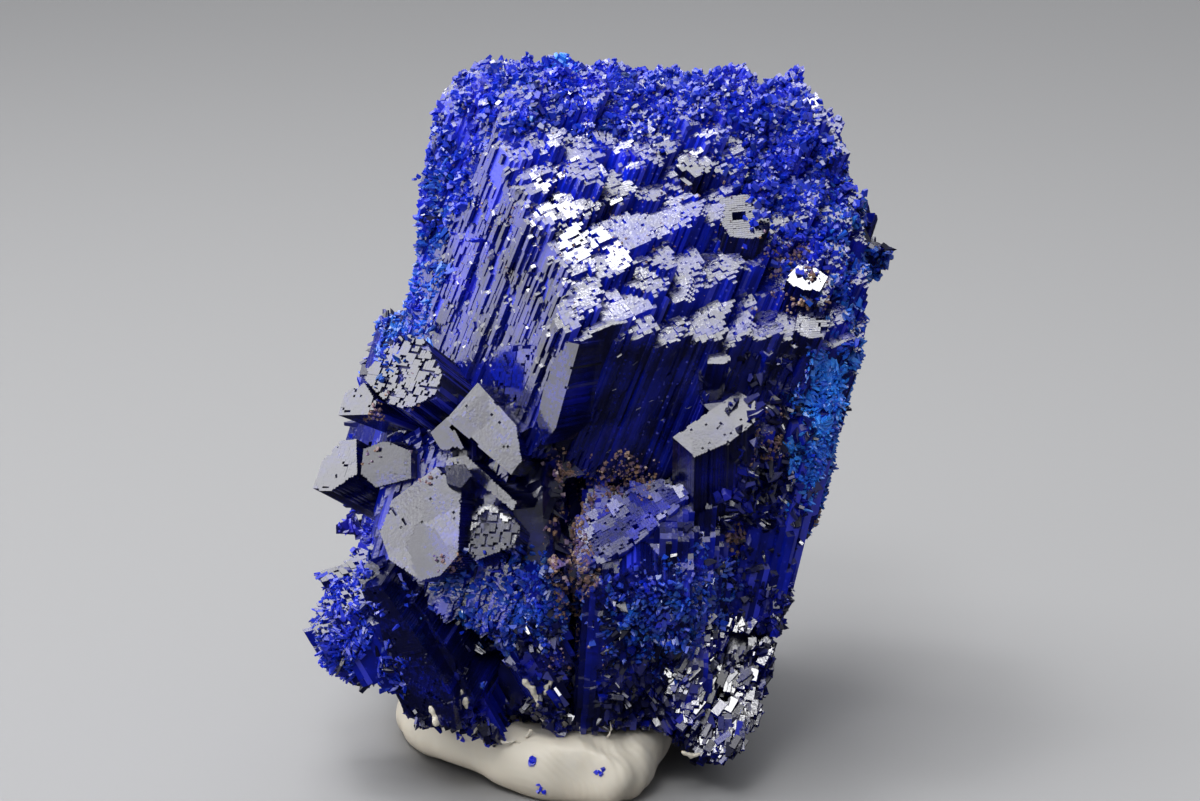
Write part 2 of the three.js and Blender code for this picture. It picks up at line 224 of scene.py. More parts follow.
# Single crystals with one broad flat face: its corners, and how far the crystal runs back from it.
flatShared = {"pitch": 0.25, "pits": 0.006, "pitDepth": 0.2, "cracks": 0.12, "cell": 2.4, "step": 0.05,
              "ragged": 0.15, "tilt": 0.014, "turn": (0, 0), "tone": 0.08, "dull": 0.12,
              "pepper": 0.03, "crackWidth": 0.7, "crackDepth": 0.4, "holeDepth": 1.3, "worn": 0.8}
flatCrystals = {
    "greyRhomb": {
        "face": ((-9.6, -13.4, 37.7), (-12.3, -13.5, 34.5), (-6.7, -17.1, 30.6), (-5.8, -17, 31.8),
                 (-6.3, -15.8, 34.6)),
        "run": (1.5, 9, -2.7),
    },
    "thinPlate": {
        "face": ((-12.2, -13, 34.6), (-13.7, -13, 33.2), (-12.8, -13.8, 31.9), (-10.8, -14.3, 32.1)),
        "run": (1.5, 8, -2.4),
    },
    "underPlate": {
        "face": ((-12.3, -12.3, 30.7), (-10.7, -12.8, 31.1), (-6.3, -15.8, 27.7), (-6.6, -15.9, 27),
                 (-10.1, -13.7, 29.3)),
        "run": (4, 9, -2),
    },
    "whiteCap": {
        "face": ((-12.4, -14.7, 30.7), (-10.8, -15, 30.9), (-10.1, -15.8, 30.2), (-11, -16.3, 29.2),
                 (-12.2, -15.7, 29.4)),
        "run": (1, 7, -4),
    },
    "greySlab": {
        "face": ((-17.1, -13.6, 27.3), (-13.2, -13.1, 30.1), (-11.1, -14.7, 28.5), (-11.3, -17.4, 23.5),
                 (-12.8, -17.8, 21.8), (-14.5, -17.6, 21.3), (-17.2, -16.1, 22.7), (-18.1, -14.8, 24.8)),
        "run": (4, 9, -3), "tilt": 0.025, "cell": 3.2,
    },
    "crackedSlab": {
        "face": ((-10.7, -12.3, 27.2), (-7.8, -13.1, 27.3), (-6, -15.1, 25.3), (-6.6, -16.1, 23.9),
                 (-9.9, -16.2, 22.7), (-12.4, -14.2, 24.3)),
        "run": (3, 9, -5), "cracks": 0.8, "pits": 0.05, "tilt": 0.03, "cell": 1.0, "step": 0.08,
        "aim": (-0.15, -0.8, 0.585),
    },
    "shoulderCap": {
        "face": ((-16.5, -5, 40.1), (-14.8, -6.4, 40.2), (-12.7, -10.7, 37.7), (-13.5, -11.7, 36.1),
                 (-16, -11, 34.8),
                 (-17.8, -9.2, 35), (-20.1, -5.8, 36.5), (-18, -5.2, 38.7)),
        "run": (6, 8, -7), "cracks": 0.8, "tilt": 0.02, "cell": 1.1, "step": 0.16,
    },
    "shoulderHorn": {
        "face": ((-22.1, -8.1, 33.5), (-21.6, -6.9, 35.1), (-19.9, -7, 36.3), (-18.6, -9.4, 35),
                 (-18.9, -10.1, 34.1)),
        "run": (7, 8, -5), "cracks": 0.5,
    },
    "leftHorn": {
        "face": ((-24.5, -8.3, 26.7), (-23.7, -6.7, 28.9), (-22, -6.2, 30.7), (-20.6, -7, 31),
                 (-20.4, -9.6, 28.6),
                 (-22.7, -9.4, 27)),
        "run": (8, 8, -7), "cracks": 0.4,
    },
    "leftPane": {
        "face": ((-20, -9.6, 28.6), (-19.8, -9, 30.6), (-17.9, -9.3, 31.5), (-15.6, -10.3, 30.8),
                 (-15.6, -11.1, 28.6),
                 (-18.7, -10.4, 27.6)),
        "run": (4, 9, -2),
    },
    "leftStud": {
        "face": ((-20.5, -11.7, 20), (-19.3, -11.7, 21.3), (-18.4, -12.1, 20.9), (-18.3, -12.7, 19.4),
                 (-20, -12.1, 19.3)),
        "run": (6, 8, 0),
    },
    "ridgeBlade": {
        "face": ((-0.9, -14.8, 41.4), (-2.9, -15.6, 34.3), (-4, -15.2, 32.7), (-4.5, -14.1, 34.6),
                 (-3.6, -13.5, 38.7),
                 (-2.1, -13.8, 41.4)),
        "run": (5, 6, -0.5),
    },
    "sidePane": {
        "face": ((-7.4, -7.2, 39.5), (-3.9, -11.2, 40.4), (-4.6, -13.4, 33.8), (-6.1, -11.2, 34.5),
                 (-8, -8.2, 35.9), (-8.9, -6.4, 37.4)),
        "run": (5, 6, -0.5), "cell": 1.4, "step": 0.14, "tone": 0.4, "dull": 0.15, "cracks": 0.4,
        "ragged": 0.8, "tilt": 0.03,
    },
    "frontLedge": {
        "face": ((7.2, -12.6, 32.7), (8.1, -12.2, 33.3), (12.9, -10.2, 36.1), (14.3, -11.4, 35.6),
                 (14.2, -13.1, 34.2),
                 (12.1, -14.1, 32.7), (9.1, -14.6, 31.5)),
        "run": (0, 4, -9), "pits": 0.05, "turn": (0.13, 0.06), "dull": 0.2,
    },
    "sheenFace": {
        "face": ((-1.2, -12.6, 25.7), (1.9, -11.9, 27.3), (6.1, -11.3, 28.6), (9.1, -11.5, 28.7),
                 (9.1, -12.9, 26.6),
                 (6, -14.1, 24.4), (3.3, -14.7, 23.2), (-1, -16.4, 19.8)),
        "run": (0, 6, -6), "cell": 1.1, "step": 0.3, "tilt": 0.08, "tone": 0.6, "dull": 0.45, "ragged": 0.9,
        "pits": 0.05,
        "aim": (0.06, -0.77, 0.64),
    },
    "bladeLeft": {
        "face": ((-20, -13.1, 19.2), (-18.2, -14.8, 20.1), (-14.9, -16.2, 15.5), (-11.9, -17.1, 10.3),
                 (-11.6, -16.6, 7.4),
                 (-14, -14.8, 7.5), (-17.3, -13.3, 12)),
        "run": (3, 7, 3), "cell": 3, "step": 0.3, "tone": 0.06, "cracks": 0.3,
    },
    "bladeMiddle": {
        "face": ((-17.6, -12.6, 18.7), (-15.4, -14.2, 18.5), (-11.7, -15.8, 13.4), (-8.5, -16.6, 6.9),
                 (-11.2, -14.3, 6.1), (-14.5, -13.6, 13.3)),
        "run": (3, 7, 3), "cell": 2.5, "step": 0.3, "tone": 0.1, "cracks": 0.3,
    },
    "bladeLow": {
        "face": ((-18.3, -11.4, 11.3), (-16.8, -12.9, 12.4), (-13.5, -14.1, 7.3), (-14.2, -13.3, 6.4),
                 (-16.4, -11.9, 7.4)),
        "run": (3, 7, 3), "cell": 2, "step": 0.3, "tone": 0.05, "cracks": 0.3,
    },
    "darkFace": {
        "face": ((0.4, -15.5, 19.8), (4.3, -16.8, 22.3), (8.7, -16.2, 19.1), (8.6, -14.6, 14),
                 (4.4, -13.5, 12), (0.9, -13.6, 13.7)),
        "run": (0, 7, 3), "cell": 1.2, "step": 0.5, "tone": 0.25, "cracks": 0.6, "tilt": 0.1,
    },
    "smallLedge": {
        "face": ((10.3, -10.1, 39.5), (11.5, -10.2, 39.7), (12.4, -11.2, 39.3), (11.6, -11.6, 39),
                 (10.2, -11.2, 38.9)),
        "run": (-1, 3, -6),
    },
    "pitBlock": {
        "face": ((11.4, 0, 51.3), (13.8, -0.2, 51.7), (15.4, -1.5, 51.1), (15.9, -3.8, 49.5),
                 (14.7, -4.7, 48.5),
                 (12.3, -4.2, 48.7), (11, -1.8, 50.4)),
        "run": (-2.5, 2, -9), "aim": (-0.2, -0.5, 0.84), "hole": ((13.1, -2.2, 50.2), 0.55), "pits": 0.02,
    },
    "brightTip": {
        "face": ((17.2, -4.8, 45.1), (18.3, -3.9, 46), (19.8, -4.5, 45.9), (20.8, -5.6, 45.4),
                 (20.1, -6.6, 44.3),
                 (18.1, -5.9, 44.4)),
        "run": (-2.5, 3, -8), "pits": 0, "cracks": 0, "aim": (-0.265, -0.604, 0.751),
    },
    "lowerTip": {
        "face": ((18.4, -5.4, 42.6), (19.8, -5.7, 42.7), (21, -7.3, 41.8), (20.4, -8.5, 40.7),
                 (19.2, -8.4, 40.5),
                 (17.9, -7.5, 40.8)),
        "run": (-2.5, 4, -8), "aim": (-0.2, -0.54, 0.82), "cracks": 0.5, "cell": 0.9,
    },
}

hollow = ((-7.3, -14, 9.2), (2.0, 4.5, 2.7))  # a dark gap at the foot: its middle and half sizes
leastHeight = 0.2  # nothing grown reaches below this, so that only the wad touches the floor
tiny = 1e-9


def unit(v):
    v = np.asarray(v, float)
    return v / np.linalg.norm(v)


def unitRows(rows):
    return rows / np.linalg.norm(rows, axis=1)[:, None]


def smoothNoise(points, wave, seed):  # smooth values from about -1 to 1, the same on every run
    rng = np.random.default_rng(seed)
    total = np.zeros(len(points))
    for _ in range(9):
        direction = unit(rng.normal(size=3)) * (2 * math.pi / wave) * rng.uniform(0.6, 1.5)
        total += np.sin(points @ direction + rng.uniform(0, 2 * math.pi))
    return total / 3


def latticeOf(habit):  # unit edges of one crystal: two in the tip face, then the column's own length, tip up
    left, front, tip = (unit(v) for v in habits[habit])
    across, back, along = (unit(np.cross(*pair)) for pair in ((tip, front), (left, tip), (left, front)))
    along = along if along[2] > 0 else -along
    back = back if np.cross(across, back) @ along > 0 else -back
    return across, back, along


def gridOf(low, high, step):  # a row for each point of a flat grid
    ticks = [np.arange(a, b, step) for a, b in zip(low, high)]
    return np.stack([line.ravel() for line in np.meshgrid(*ticks)], 1)


def nearest(points, seeds, count=1):  # index of the nearest seeds and their distances, in chunks
    order, distance = [], []
    for chunk in np.array_split(points, max(1, len(points) // 1500)):
        gap = chunk[:, None, :] - seeds[None, :, :]
        far = 0.6 * np.abs(gap).max(2) + 0.4 * np.linalg.norm(gap, axis=2)
        best = np.argpartition(far, count - 1, axis=1)[:, :count] if count > 1 else far.argmin(1)[:, None]
        value = np.take_along_axis(far, best, 1)
        rank = np.argsort(value, 1)
        order.append(np.take_along_axis(best, rank, 1))
        distance.append(np.take_along_axis(value, rank, 1))
    return np.concatenate(order), np.concatenate(distance)


def blocksOf(cells, size, rng):  # splits the lattice into irregular blocks about size columns wide
    grid = gridOf(cells.min(0) - size, cells.max(0) + size, size)
    seeds = grid + rng.uniform(-0.48, 0.48, grid.shape) * size
    return nearest(cells + rng.normal(size=cells.shape) * 0.4, seeds)[0][:, 0], len(seeds)


def prisms(middle, edgeA, edgeB, edgeC, tone, dull, pepper=0.0, sky=0.0, rust=0.0):
    finish, crust = (np.stack([np.broadcast_to(v, len(middle)) for v in values], 1)
                     for values in ((tone, dull, sky), (rust, pepper, 0.0)))
    return {"at": middle, "edgeA": edgeA, "edgeB": edgeB, "edgeC": edgeC, "finish": finish, "crust": crust}


def cellsInside(growth, lattice, seed):  # the columns whose middle line crosses the space inside the walls
    across, back, along = lattice
    pitchA, pitchB = growth["pitch"]
    reach = int(growth["span"] / min(growth["pitch"]))
    cells = gridOf((-reach, -reach), (reach + 1, reach + 1), 1).astype(float)
    middle = np.array(growth["anchor"]) + cells[:, :1] * pitchA * across + cells[:, 1:] * pitchB * back
    low, high, sideRoom = (np.full(len(middle), end) for end in (-90.0, 90.0, 90.0))
    nearSide = np.zeros((len(middle), 3))
    inside = np.ones(len(middle), bool)
    for k, (direction, through) in enumerate(growth["walls"]):
        normal = unit(direction)
        halfWidth = (pitchA * abs(normal @ across) + pitchB * abs(normal @ back)) / 2
        sway = growth["wobble"] * smoothNoise(middle, growth["wave"], seed * 31 + k) - growth["inset"]
        room = (np.array(through) - middle) @ normal - halfWidth + sway
        rate = normal @ along
        if abs(rate) < growth["sideRate"]:
            inside &= room > 0
            nearSide = np.where((room < sideRoom)[:, None], normal, nearSide)
            sideRoom = np.minimum(sideRoom, room)
        elif rate > 0:
            high = np.minimum(high, room / rate)
        else:
            low = np.maximum(low, room / rate)
    keep = inside & (high - low > growth["shortest"])
    for _ in range(2):  # lone columns go
        full = np.pad(keep.reshape(2 * reach + 1, -1), 1).astype(int)
        near = sum(np.roll(full, (a, b), (0, 1)) for a in (-1, 0, 1) for b in (-1, 0, 1)) - full
        keep &= near[1:-1, 1:-1].ravel() >= growth["neighbours"]
    return [v[keep] for v in (cells, middle, low, high, sideRoom, nearSide)]


def brokenSkin(growth, columns, along, rng, seed):  # short lengths with gaps, each a little in or out
    middle, low, stop, lean, tone, outward = columns
    calm = (outward[:, 1] < -0.8) & growth["calmFront"]
    # the outer columns' tone is cut, to 0.4 on the calm front face and to 0.42 elsewhere; on the front face
    # this is painted shade
    tone = tone * np.where(calm, *growth["skinTones"])
    start = low + growth["skinLength"] * rng.random(len(low))
    rows = []
    while len(start):
        drawn = len(start)
        length = growth["skinLength"] * rng.uniform(0.3, 1.5, drawn) * np.where(calm, 5, 1)
        end = np.minimum(start + length, stop)
        spot = middle + along * ((start + end) / 2)[:, None]
        flatSpot = spot - 0.6 * (spot @ along)[:, None] * along
        patchy = smoothNoise(flatSpot, 2.2, seed + 50) + 0.55 * rng.normal(size=drawn)
        gaps = growth["skinGaps"] - 0.35 * np.clip((growth["fullSkin"] - spot[:, 2]) / 4, 0, 1)
        use = (end - start > 0.3) & (patchy > np.where(calm, -2.2, (gaps - 0.5) * 2.4))
        stepOut = np.round(smoothNoise(spot, 3.1, seed + 51)) + 0.4 * rng.uniform(-1, 1, drawn)
        shift = outward * (growth["skinShift"] * stepOut)[:, None]
        dull = np.where(calm, 0.3, 0.06 + 0.25 * rng.random(drawn) ** 2)
        ownLean = np.where((end < stop)[:, None], 0.3 * rng.normal(size=(drawn, 2)), lean)
        row = (middle, start - 0.15, end, ownLean, tone, dull, shift)
        rows.append(tuple(v[use] for v in row))
        start = end
        if np.all(stop - start < 0.05):
            break
    return rows


def fillWalls(growth, seed):  # parallel columns that fill the space inside the walls
    growth = {**growthShared, **growth}
    rng = np.random.default_rng(seed)
    lattice = latticeOf(growth["habit"])
    across, back, along = lattice
    pitchA, pitchB = growth["pitch"]
    cells, middle, low, high, sideRoom, nearSide = cellsInside(growth, lattice, seed)
    count = len(middle)
    # blocks end together, at their mean height or lower, and each block's tip leans its own way
    block, blocks = blocksOf(cells, growth["blockSize"], rng)
    plate, plates = blocksOf(cells, growth["plateSize"], rng)
    level = np.bincount(block, high, minlength=blocks) / (np.bincount(block, minlength=blocks) + tiny)
    height = middle[:, 2] + high * along[2]
    loose = np.clip((height - growth["stepsFrom"]) / growth["stepsSpan"], growth["leastSteps"], 1)
    drop = loose * growth["blockDrop"] * (rng.random(blocks) ** 1.5)[block]
    ends = np.minimum(level[block] - drop, high + 1.0)
    ends -= loose * growth["plateDrop"] * (rng.random(plates) ** 2)[plate] * (rng.random(plates) < 0.6)[plate]
    tops = middle + ends[:, None] * along
    rough = (tops[:, 2] - growth["roughFrom"]) / growth["roughSpan"] + 0.3 * smoothNoise(tops, 9, seed + 3)
    rough = np.clip(rough, 0, 1)
    flash = np.zeros(count)
    for place, radius in growth["flashes"]:
        flash = np.maximum(flash, np.exp(-(np.linalg.norm(tops - place, axis=1) / radius) ** 4))
    flash = (flash > rng.uniform(0.3, 0.7, blocks)[block]) & (rng.random(plates) < 0.85)[plate]
    pitted = rng.random(count) < growth["pits"] * (1 + 2 * rough)
    ends -= np.where(pitted, growth["pitDepth"] * rng.random(count), 0.02 * rng.random(count))
    ends -= rough * growth["roughDrop"] * rng.random(plates)[plate]
    low = low + rng.random(count)
    turn = rng.uniform(*growth["leanRange"], blocks)
    slope = growth["blockTilt"] * rng.uniform(0.85, 1.3, blocks)
    blockLean = np.stack([np.cos(turn) * slope, np.sin(turn) * slope], 1)[block]
    spread = growth["columnTilt"] * rng.normal(size=(plates, 2))[plate]
    spread += (growth["roughTilt"] * rough)[:, None] * rng.normal(size=(plates, 2))[plate]
    spread[flash] *= growth["flashSpread"]
    for axis, (least, alongX, alongY) in enumerate(growth["flashLean"]):
        wanted = least + alongX * tops[:, 0] + alongY * tops[:, 1]
        blockLean[flash, axis] = wanted[flash]
    lean = blockLean + spread
    for part, owner, owners in ((blockLean, block, blocks), (spread, plate, plates)):
        for axis in (0, 1):
            total = np.bincount(owner, cells[:, axis], minlength=owners)
            centre = total / (np.bincount(owner, minlength=owners) + tiny)
            ends += part[:, axis] * (cells[:, axis] - centre[owner]) * growth["pitch"][axis]
    lean += np.where(pitted, growth["pitLean"], 0.003)[:, None] * rng.normal(size=(count, 2))
    tone = growth["tone"] + 0.25 * rng.normal(size=blocks)[block] * 0.6 + 0.5 * rough + 0.25 * pitted
    tone = np.clip(tone + 0.12 * rng.normal(size=count), 0, 1)
    tone = np.where(pitted, np.maximum(tone, growth["pitTone"]), tone)
    dull = np.clip(np.where(pitted, growth["pitDull"], 0.08) + 0.3 * rough * rng.random(plates)[plate], 0, 1)
    # the outermost columns are a broken skin, and the ones under it are duller
    thickest = max(pitchA, pitchB)
    skin = sideRoom < growth["skinDepth"] * thickest
    under = ~skin & (sideRoom < growth["underDepth"] * thickest)
    dull[under] = np.maximum(dull[under], growth["underDull"])
    tone[under] = np.clip(tone[under] + growth["underTone"], 0, 1)
    rows = [tuple(v[~skin] for v in (middle, low, ends, lean, tone, dull, np.zeros((count, 3))))]
    outermost = [v[skin] for v in (middle, low, ends, lean, tone, nearSide)]
    rows += brokenSkin(growth, outermost, along, rng, seed)
    middle, low, high, lean, tone, dull, shift = (np.concatenate([row[n] for row in rows]) for n in range(7))
    wide = rng.uniform(1.02, 1.16, (2, len(middle), 1))
    edgeA = (across + along * lean[:, :1]) * pitchA * wide[0]
    edgeB = (back + along * lean[:, 1:]) * pitchB * wide[1]
    edgeC = along * (high - low)[:, None]
    pepper = growth["pepper"] * np.where(tone < 0.3, 0.3, 1)
    middle = middle + shift + along * ((low + high) / 2)[:, None]
    return prisms(middle, edgeA, edgeB, edgeC, tone, dull, pepper)


def straightened(uv, outline, pitch):  # points near the outline step inwards, so that it runs straight
    side = np.roll(outline, -1, 0) - outline
    area = np.sum(outline[:, 0] * np.roll(outline[:, 1], -1) - np.roll(outline[:, 0], -1) * outline[:, 1])
    inwards = np.stack([-side[:, 1], side[:, 0]], 1) / np.linalg.norm(side, axis=1)[:, None] * np.sign(area)
    rooms = np.stack([(uv - corner) @ facing for corner, facing in zip(outline, inwards)], 1)
    edgeRoom = rooms.min(1)
    half = 0.45 * pitch
    atEdge = (edgeRoom > -half) & (edgeRoom < half)
    uv = uv + np.where(atEdge, half - edgeRoom, 0)[:, None] * inwards[rooms.argmin(1)]
    return uv, np.where(atEdge, half, edgeRoom)


def fillFace(crystal, seed):  # fine columns side by side behind one flat face
    settings = {**flatShared, **crystal}
    rng = np.random.default_rng(seed)
    corners = np.array(settings["face"], float)
    run = np.array(settings["run"], float)
    normal = unit(sum(np.cross(a - corners[0], b - corners[0]) for a, b in zip(corners[1:], corners[2:])))
    normal = -normal if normal @ run > 0 else normal
    first = unit(corners[1] - corners[0])
    first = unit(first - (first @ normal) * normal)
    second = np.cross(normal, first)
    flat = np.stack([first, second], 1)
    outline = (corners - corners.mean(0)) @ flat
    pitch, cell = settings["pitch"], settings["cell"]
    low, high = outline.min(0), outline.max(0)
    uv = gridOf(low + pitch / 2, high, pitch)
    uv, edgeRoom = straightened(uv, outline, pitch)
    place = corners.mean(0) + uv @ flat.T
    chipped = settings["ragged"] * np.maximum(0, smoothNoise(place, 1.6, seed + 3))
    keep = edgeRoom > chipped * 0.8
    uv, place = uv[keep], place[keep]
    count = len(uv)
    # the face is split in cells, each at its own slight height and lean, with cracks between some of them
    grid = gridOf(low - cell, high + cell, cell)
    seeds = grid + rng.uniform(-0.45, 0.45, grid.shape) * cell
    owner, distance = nearest(uv, seeds, 2)
    owner = owner[:, 0]
    atSeam = distance[:, 1] - distance[:, 0] < settings["crackWidth"] * pitch
    cracked = atSeam & (smoothNoise(place, 3, seed + 7) < settings["cracks"] * 3 - 1.5)
    pitted = rng.random(count) < settings["pits"]
    sink = 0.01 * rng.random(count) + settings["step"] * (rng.random(len(seeds)) ** 2)[owner]
    deeper = np.where(pitted, settings["pitDepth"] * (0.5 + rng.random(count)), 0)
    sink += deeper + np.where(cracked, settings["crackDepth"], 0)
    if "hole" in settings:
        middle, radius = settings["hole"]
        sunk = np.abs((place - middle) @ flat).max(1) < radius
        sink, cracked = sink + settings["holeDepth"] * sunk, cracked | sunk
    length = np.linalg.norm(run)
    inward = run / length
    edgeC = np.tile(-inward, (count, 1)) * (length - sink)[:, None]
    middle = place + inward * ((length + sink) / 2)[:, None]
    wide = pitch * rng.uniform(1.02, 1.12, (2, count, 1))
    lean = settings["tilt"] * rng.normal(size=(2, len(seeds)))[:, owner, None]
    lean = lean + 0.002 * rng.normal(size=(2, count, 1))
    lean += np.array(settings["turn"])[:, None, None]
    if "aim" in settings:  # the whole face looks this way
        aim = unit(settings["aim"])
        lean += np.array([first @ aim, second @ aim])[:, None, None] / (inward @ aim)
    edgeA = (first - inward * lean[0]) * wide[0]
    edgeB = (second - inward * lean[1]) * wide[1]
    tone = np.clip(settings["tone"] + 0.08 * rng.normal(size=count) + 0.5 * cracked, 0, 1)
    dull = settings["dull"] + 0.1 * rng.random(len(seeds))[owner]
    dull = np.where(cracked | pitted, settings["worn"], dull)
    return prisms(middle, edgeA, edgeB, edgeC, tone, dull, settings["pepper"])


def spotsOn(patch, rng, seed):  # places on the cluster's faces inside the patch's zones, and their directions
    fade = patch["fade"]
    keep = np.zeros(len(coreAreas), bool)
    low, high = corePoints.min(1), corePoints.max(1)
    for place, radii in patch["zones"]:
        place, radii = np.array(place), fade * np.array(radii)
        keep |= ((low < place + radii) & (high > place - radii)).all(1)
    faces = np.nonzero(keep & (coreNormals @ unit(patch["facing"]) > patch["facingLeast"]))[0]
    chance = coreAreas[faces] / coreAreas[faces].sum()
    count = patch["tries"] * patch["count"]
    pick = faces[rng.choice(len(faces), count, p=chance)]
    share = rng.random((count, 2))
    share = np.where(share.sum(1, keepdims=True) > 1, 1 - share, share)
    a, b, c = (corePoints[pick][:, n] for n in range(3))
    at = a + (b - a) * share[:, :1] + (c - a) * share[:, 1:]
    near = np.zeros(count)
    for place, radii in patch["zones"]:
        depth = fade - np.sqrt((((at - place) / radii) ** 2).sum(1)) + 0.2 * smoothNoise(at, 3, seed + 1)
        near = np.maximum(near, depth)
    keep = near > rng.uniform(0, 0.6, count)
    for place, radii in patch["bare"]:
        keep &= (((at - place) / radii) ** 2).sum(1) > 1
    at, pick = at[keep][:patch["count"]], pick[keep][:patch["count"]]
    outward = coreNormals[pick]
    # each moves in or out to the surface that shows there
    found = np.ones(len(at), bool)
    for n in range(len(at)):
        start = at[n] + outward[n] * patch["reach"]
        spot, facing, _, _ = surface.ray_cast(Vector(start), Vector(-outward[n]), 2 * patch["reach"])
        if spot is None:
            found[n] = False
            continue
        at[n] = spot
        outward[n] = unit(0.5 * outward[n] + np.array(facing))
    return at[found], outward[found]


def grainsOn(patch, seed):  # small crystals that stand every way on the faces of the cluster
    patch = {**crustShared, **patch}
    rng = np.random.default_rng(seed)
    spread, loose = patch["spread"], patch["loose"]
    at, outward = spotsOn(patch, rng, seed)
    count = len(at)
    together = [np.stack([smoothNoise(at, patch["cluster"], seed + 60 + 3 * k + n) for n in range(3)], 1)
                for k in (0, 1)]
    stand = unitRows(outward + spread * (1.2 * together[0] + loose * rng.normal(size=(count, 3))))
    side = unitRows(np.cross(stand, together[1] + loose * rng.normal(size=(count, 3))))
    small, large = patch["size"]
    size = (small + (large - small) * rng.random(count) ** 2)[:, None]
    thin = rng.uniform(*patch["thin"], (count, 1))
    tall = rng.uniform(*patch["tall"], (count, 1))
    if "broad" in patch:  # flakes: their broad side faces one way, their length another
        stand = unitRows(unit(patch["broad"]) + spread * rng.normal(size=(count, 3)) * 0.3)
        side = np.array(patch["length"]) + spread * rng.normal(size=(count, 3))
        side = unitRows(side - (side * stand).sum(1)[:, None] * stand)
    other = np.cross(stand, side)
    lumps = np.clip(smoothNoise(at, patch["lumps"], seed + 2), -0.5, 1.5)[:, None]
    lift = patch["lift"] + patch["lumpy"] * lumps
    tone = np.clip(patch["tone"] + 0.22 * rng.normal(size=count), 0, 1)
    dull = np.clip(patch["dull"] + 0.25 * rng.normal(size=count), 0.05, 1)
    sky = patch["sky"] * (1 + 0.35 * rng.normal(size=count) + 0.5 * smoothNoise(at, 4, seed + 5))
    sky = np.clip(sky, 0, 1)
    rust = np.clip(patch["rust"] + 0.2 * rng.normal(size=count), 0, 1) * (patch["rust"] > 0)
    edges = (side * size, other * size * thin, stand * size * tall)
    return prisms(at + outward * lift, *edges, tone, dull, 0.0, sky, rust)


def addNode(tree, kind, links=(), **settings):  # links: (input, socket or value)
    node = tree.nodes.new(kind)
    for name, value in settings.items():
        setattr(node, name, value)
    for key, value in links:
        if isinstance(value, bpy.types.NodeSocket):
            tree.links.new(value, node.inputs[key])
        else:
            node.inputs[key].default_value = value
    return node


def compute(tree, operation, *terms, clamp=False):
    return addNode(tree, "ShaderNodeMath", enumerate(terms), operation=operation, use_clamp=clamp).outputs[0]


def partsOf(tree, vector):
    return addNode(tree, "ShaderNodeSeparateXYZ", ((0, vector),)).outputs


def ramp(tree, value, start, stop, low=0.0, high=1.0):
    ends = (("Value", value), ("From Min", start), ("From Max", stop), ("To Min", low), ("To Max", high))
    return addNode(tree, "ShaderNodeMapRange", ends).outputs[0]


def noise(tree, at, scale, detail):
    links = (("Vector", at), ("Scale", scale), ("Detail", detail))
    return addNode(tree, "ShaderNodeTexNoise", links).outputs["Fac"]


def mixColour(tree, factor, first, second):
    node = addNode(tree, "ShaderNodeMix", (("Factor", factor),), data_type="RGBA")
    for socket, value in zip((node.inputs[6], node.inputs[7]), (first, second)):
        if isinstance(value, bpy.types.NodeSocket):
            tree.links.new(value, socket)
        else:
            socket.default_value = (*value, 1)
    return node.outputs[2]


def newMaterial(name):
    material = bpy.data.materials.new(name)
    material.use_nodes = True
    return material, material.node_tree, material.node_tree.nodes["Principled BSDF"]


def newPiece(name, data):
    piece = bpy.data.objects.new(name, data)
    bpy.context.scene.collection.objects.link(piece)
    return piece


def framePoint(spot):  # from growth millimetres to the frame's metres
    return Vector((np.array(spot) + home) * mm)


def coordsOf(mesh, kind=np.float32):  # a mesh's points in growth millimetres
    points = np.empty(len(mesh.vertices) * 3, kind)
    mesh.vertices.foreach_get("co", points)
    return points.reshape(-1, 3) / mm - home


def trianglesOf(mesh):
    mesh.calc_loop_triangles()
    corners = np.empty(len(mesh.loop_triangles) * 3, np.int32)
    mesh.loop_triangles.foreach_get("vertices", corners)
    return corners.reshape(-1, 3)


def movePoints(mesh, points):
    mesh.vertices.foreach_set("co", ((points + home) * mm).astype(np.float32).ravel())


def storeVectors(mesh, name, values):
    layer = mesh.attributes.new(name, "FLOAT_VECTOR", "POINT")
    layer.data.foreach_set("vector", values.astype(np.float32).ravel())


edgeNames = ("edgeA", "edgeB", "edgeC")


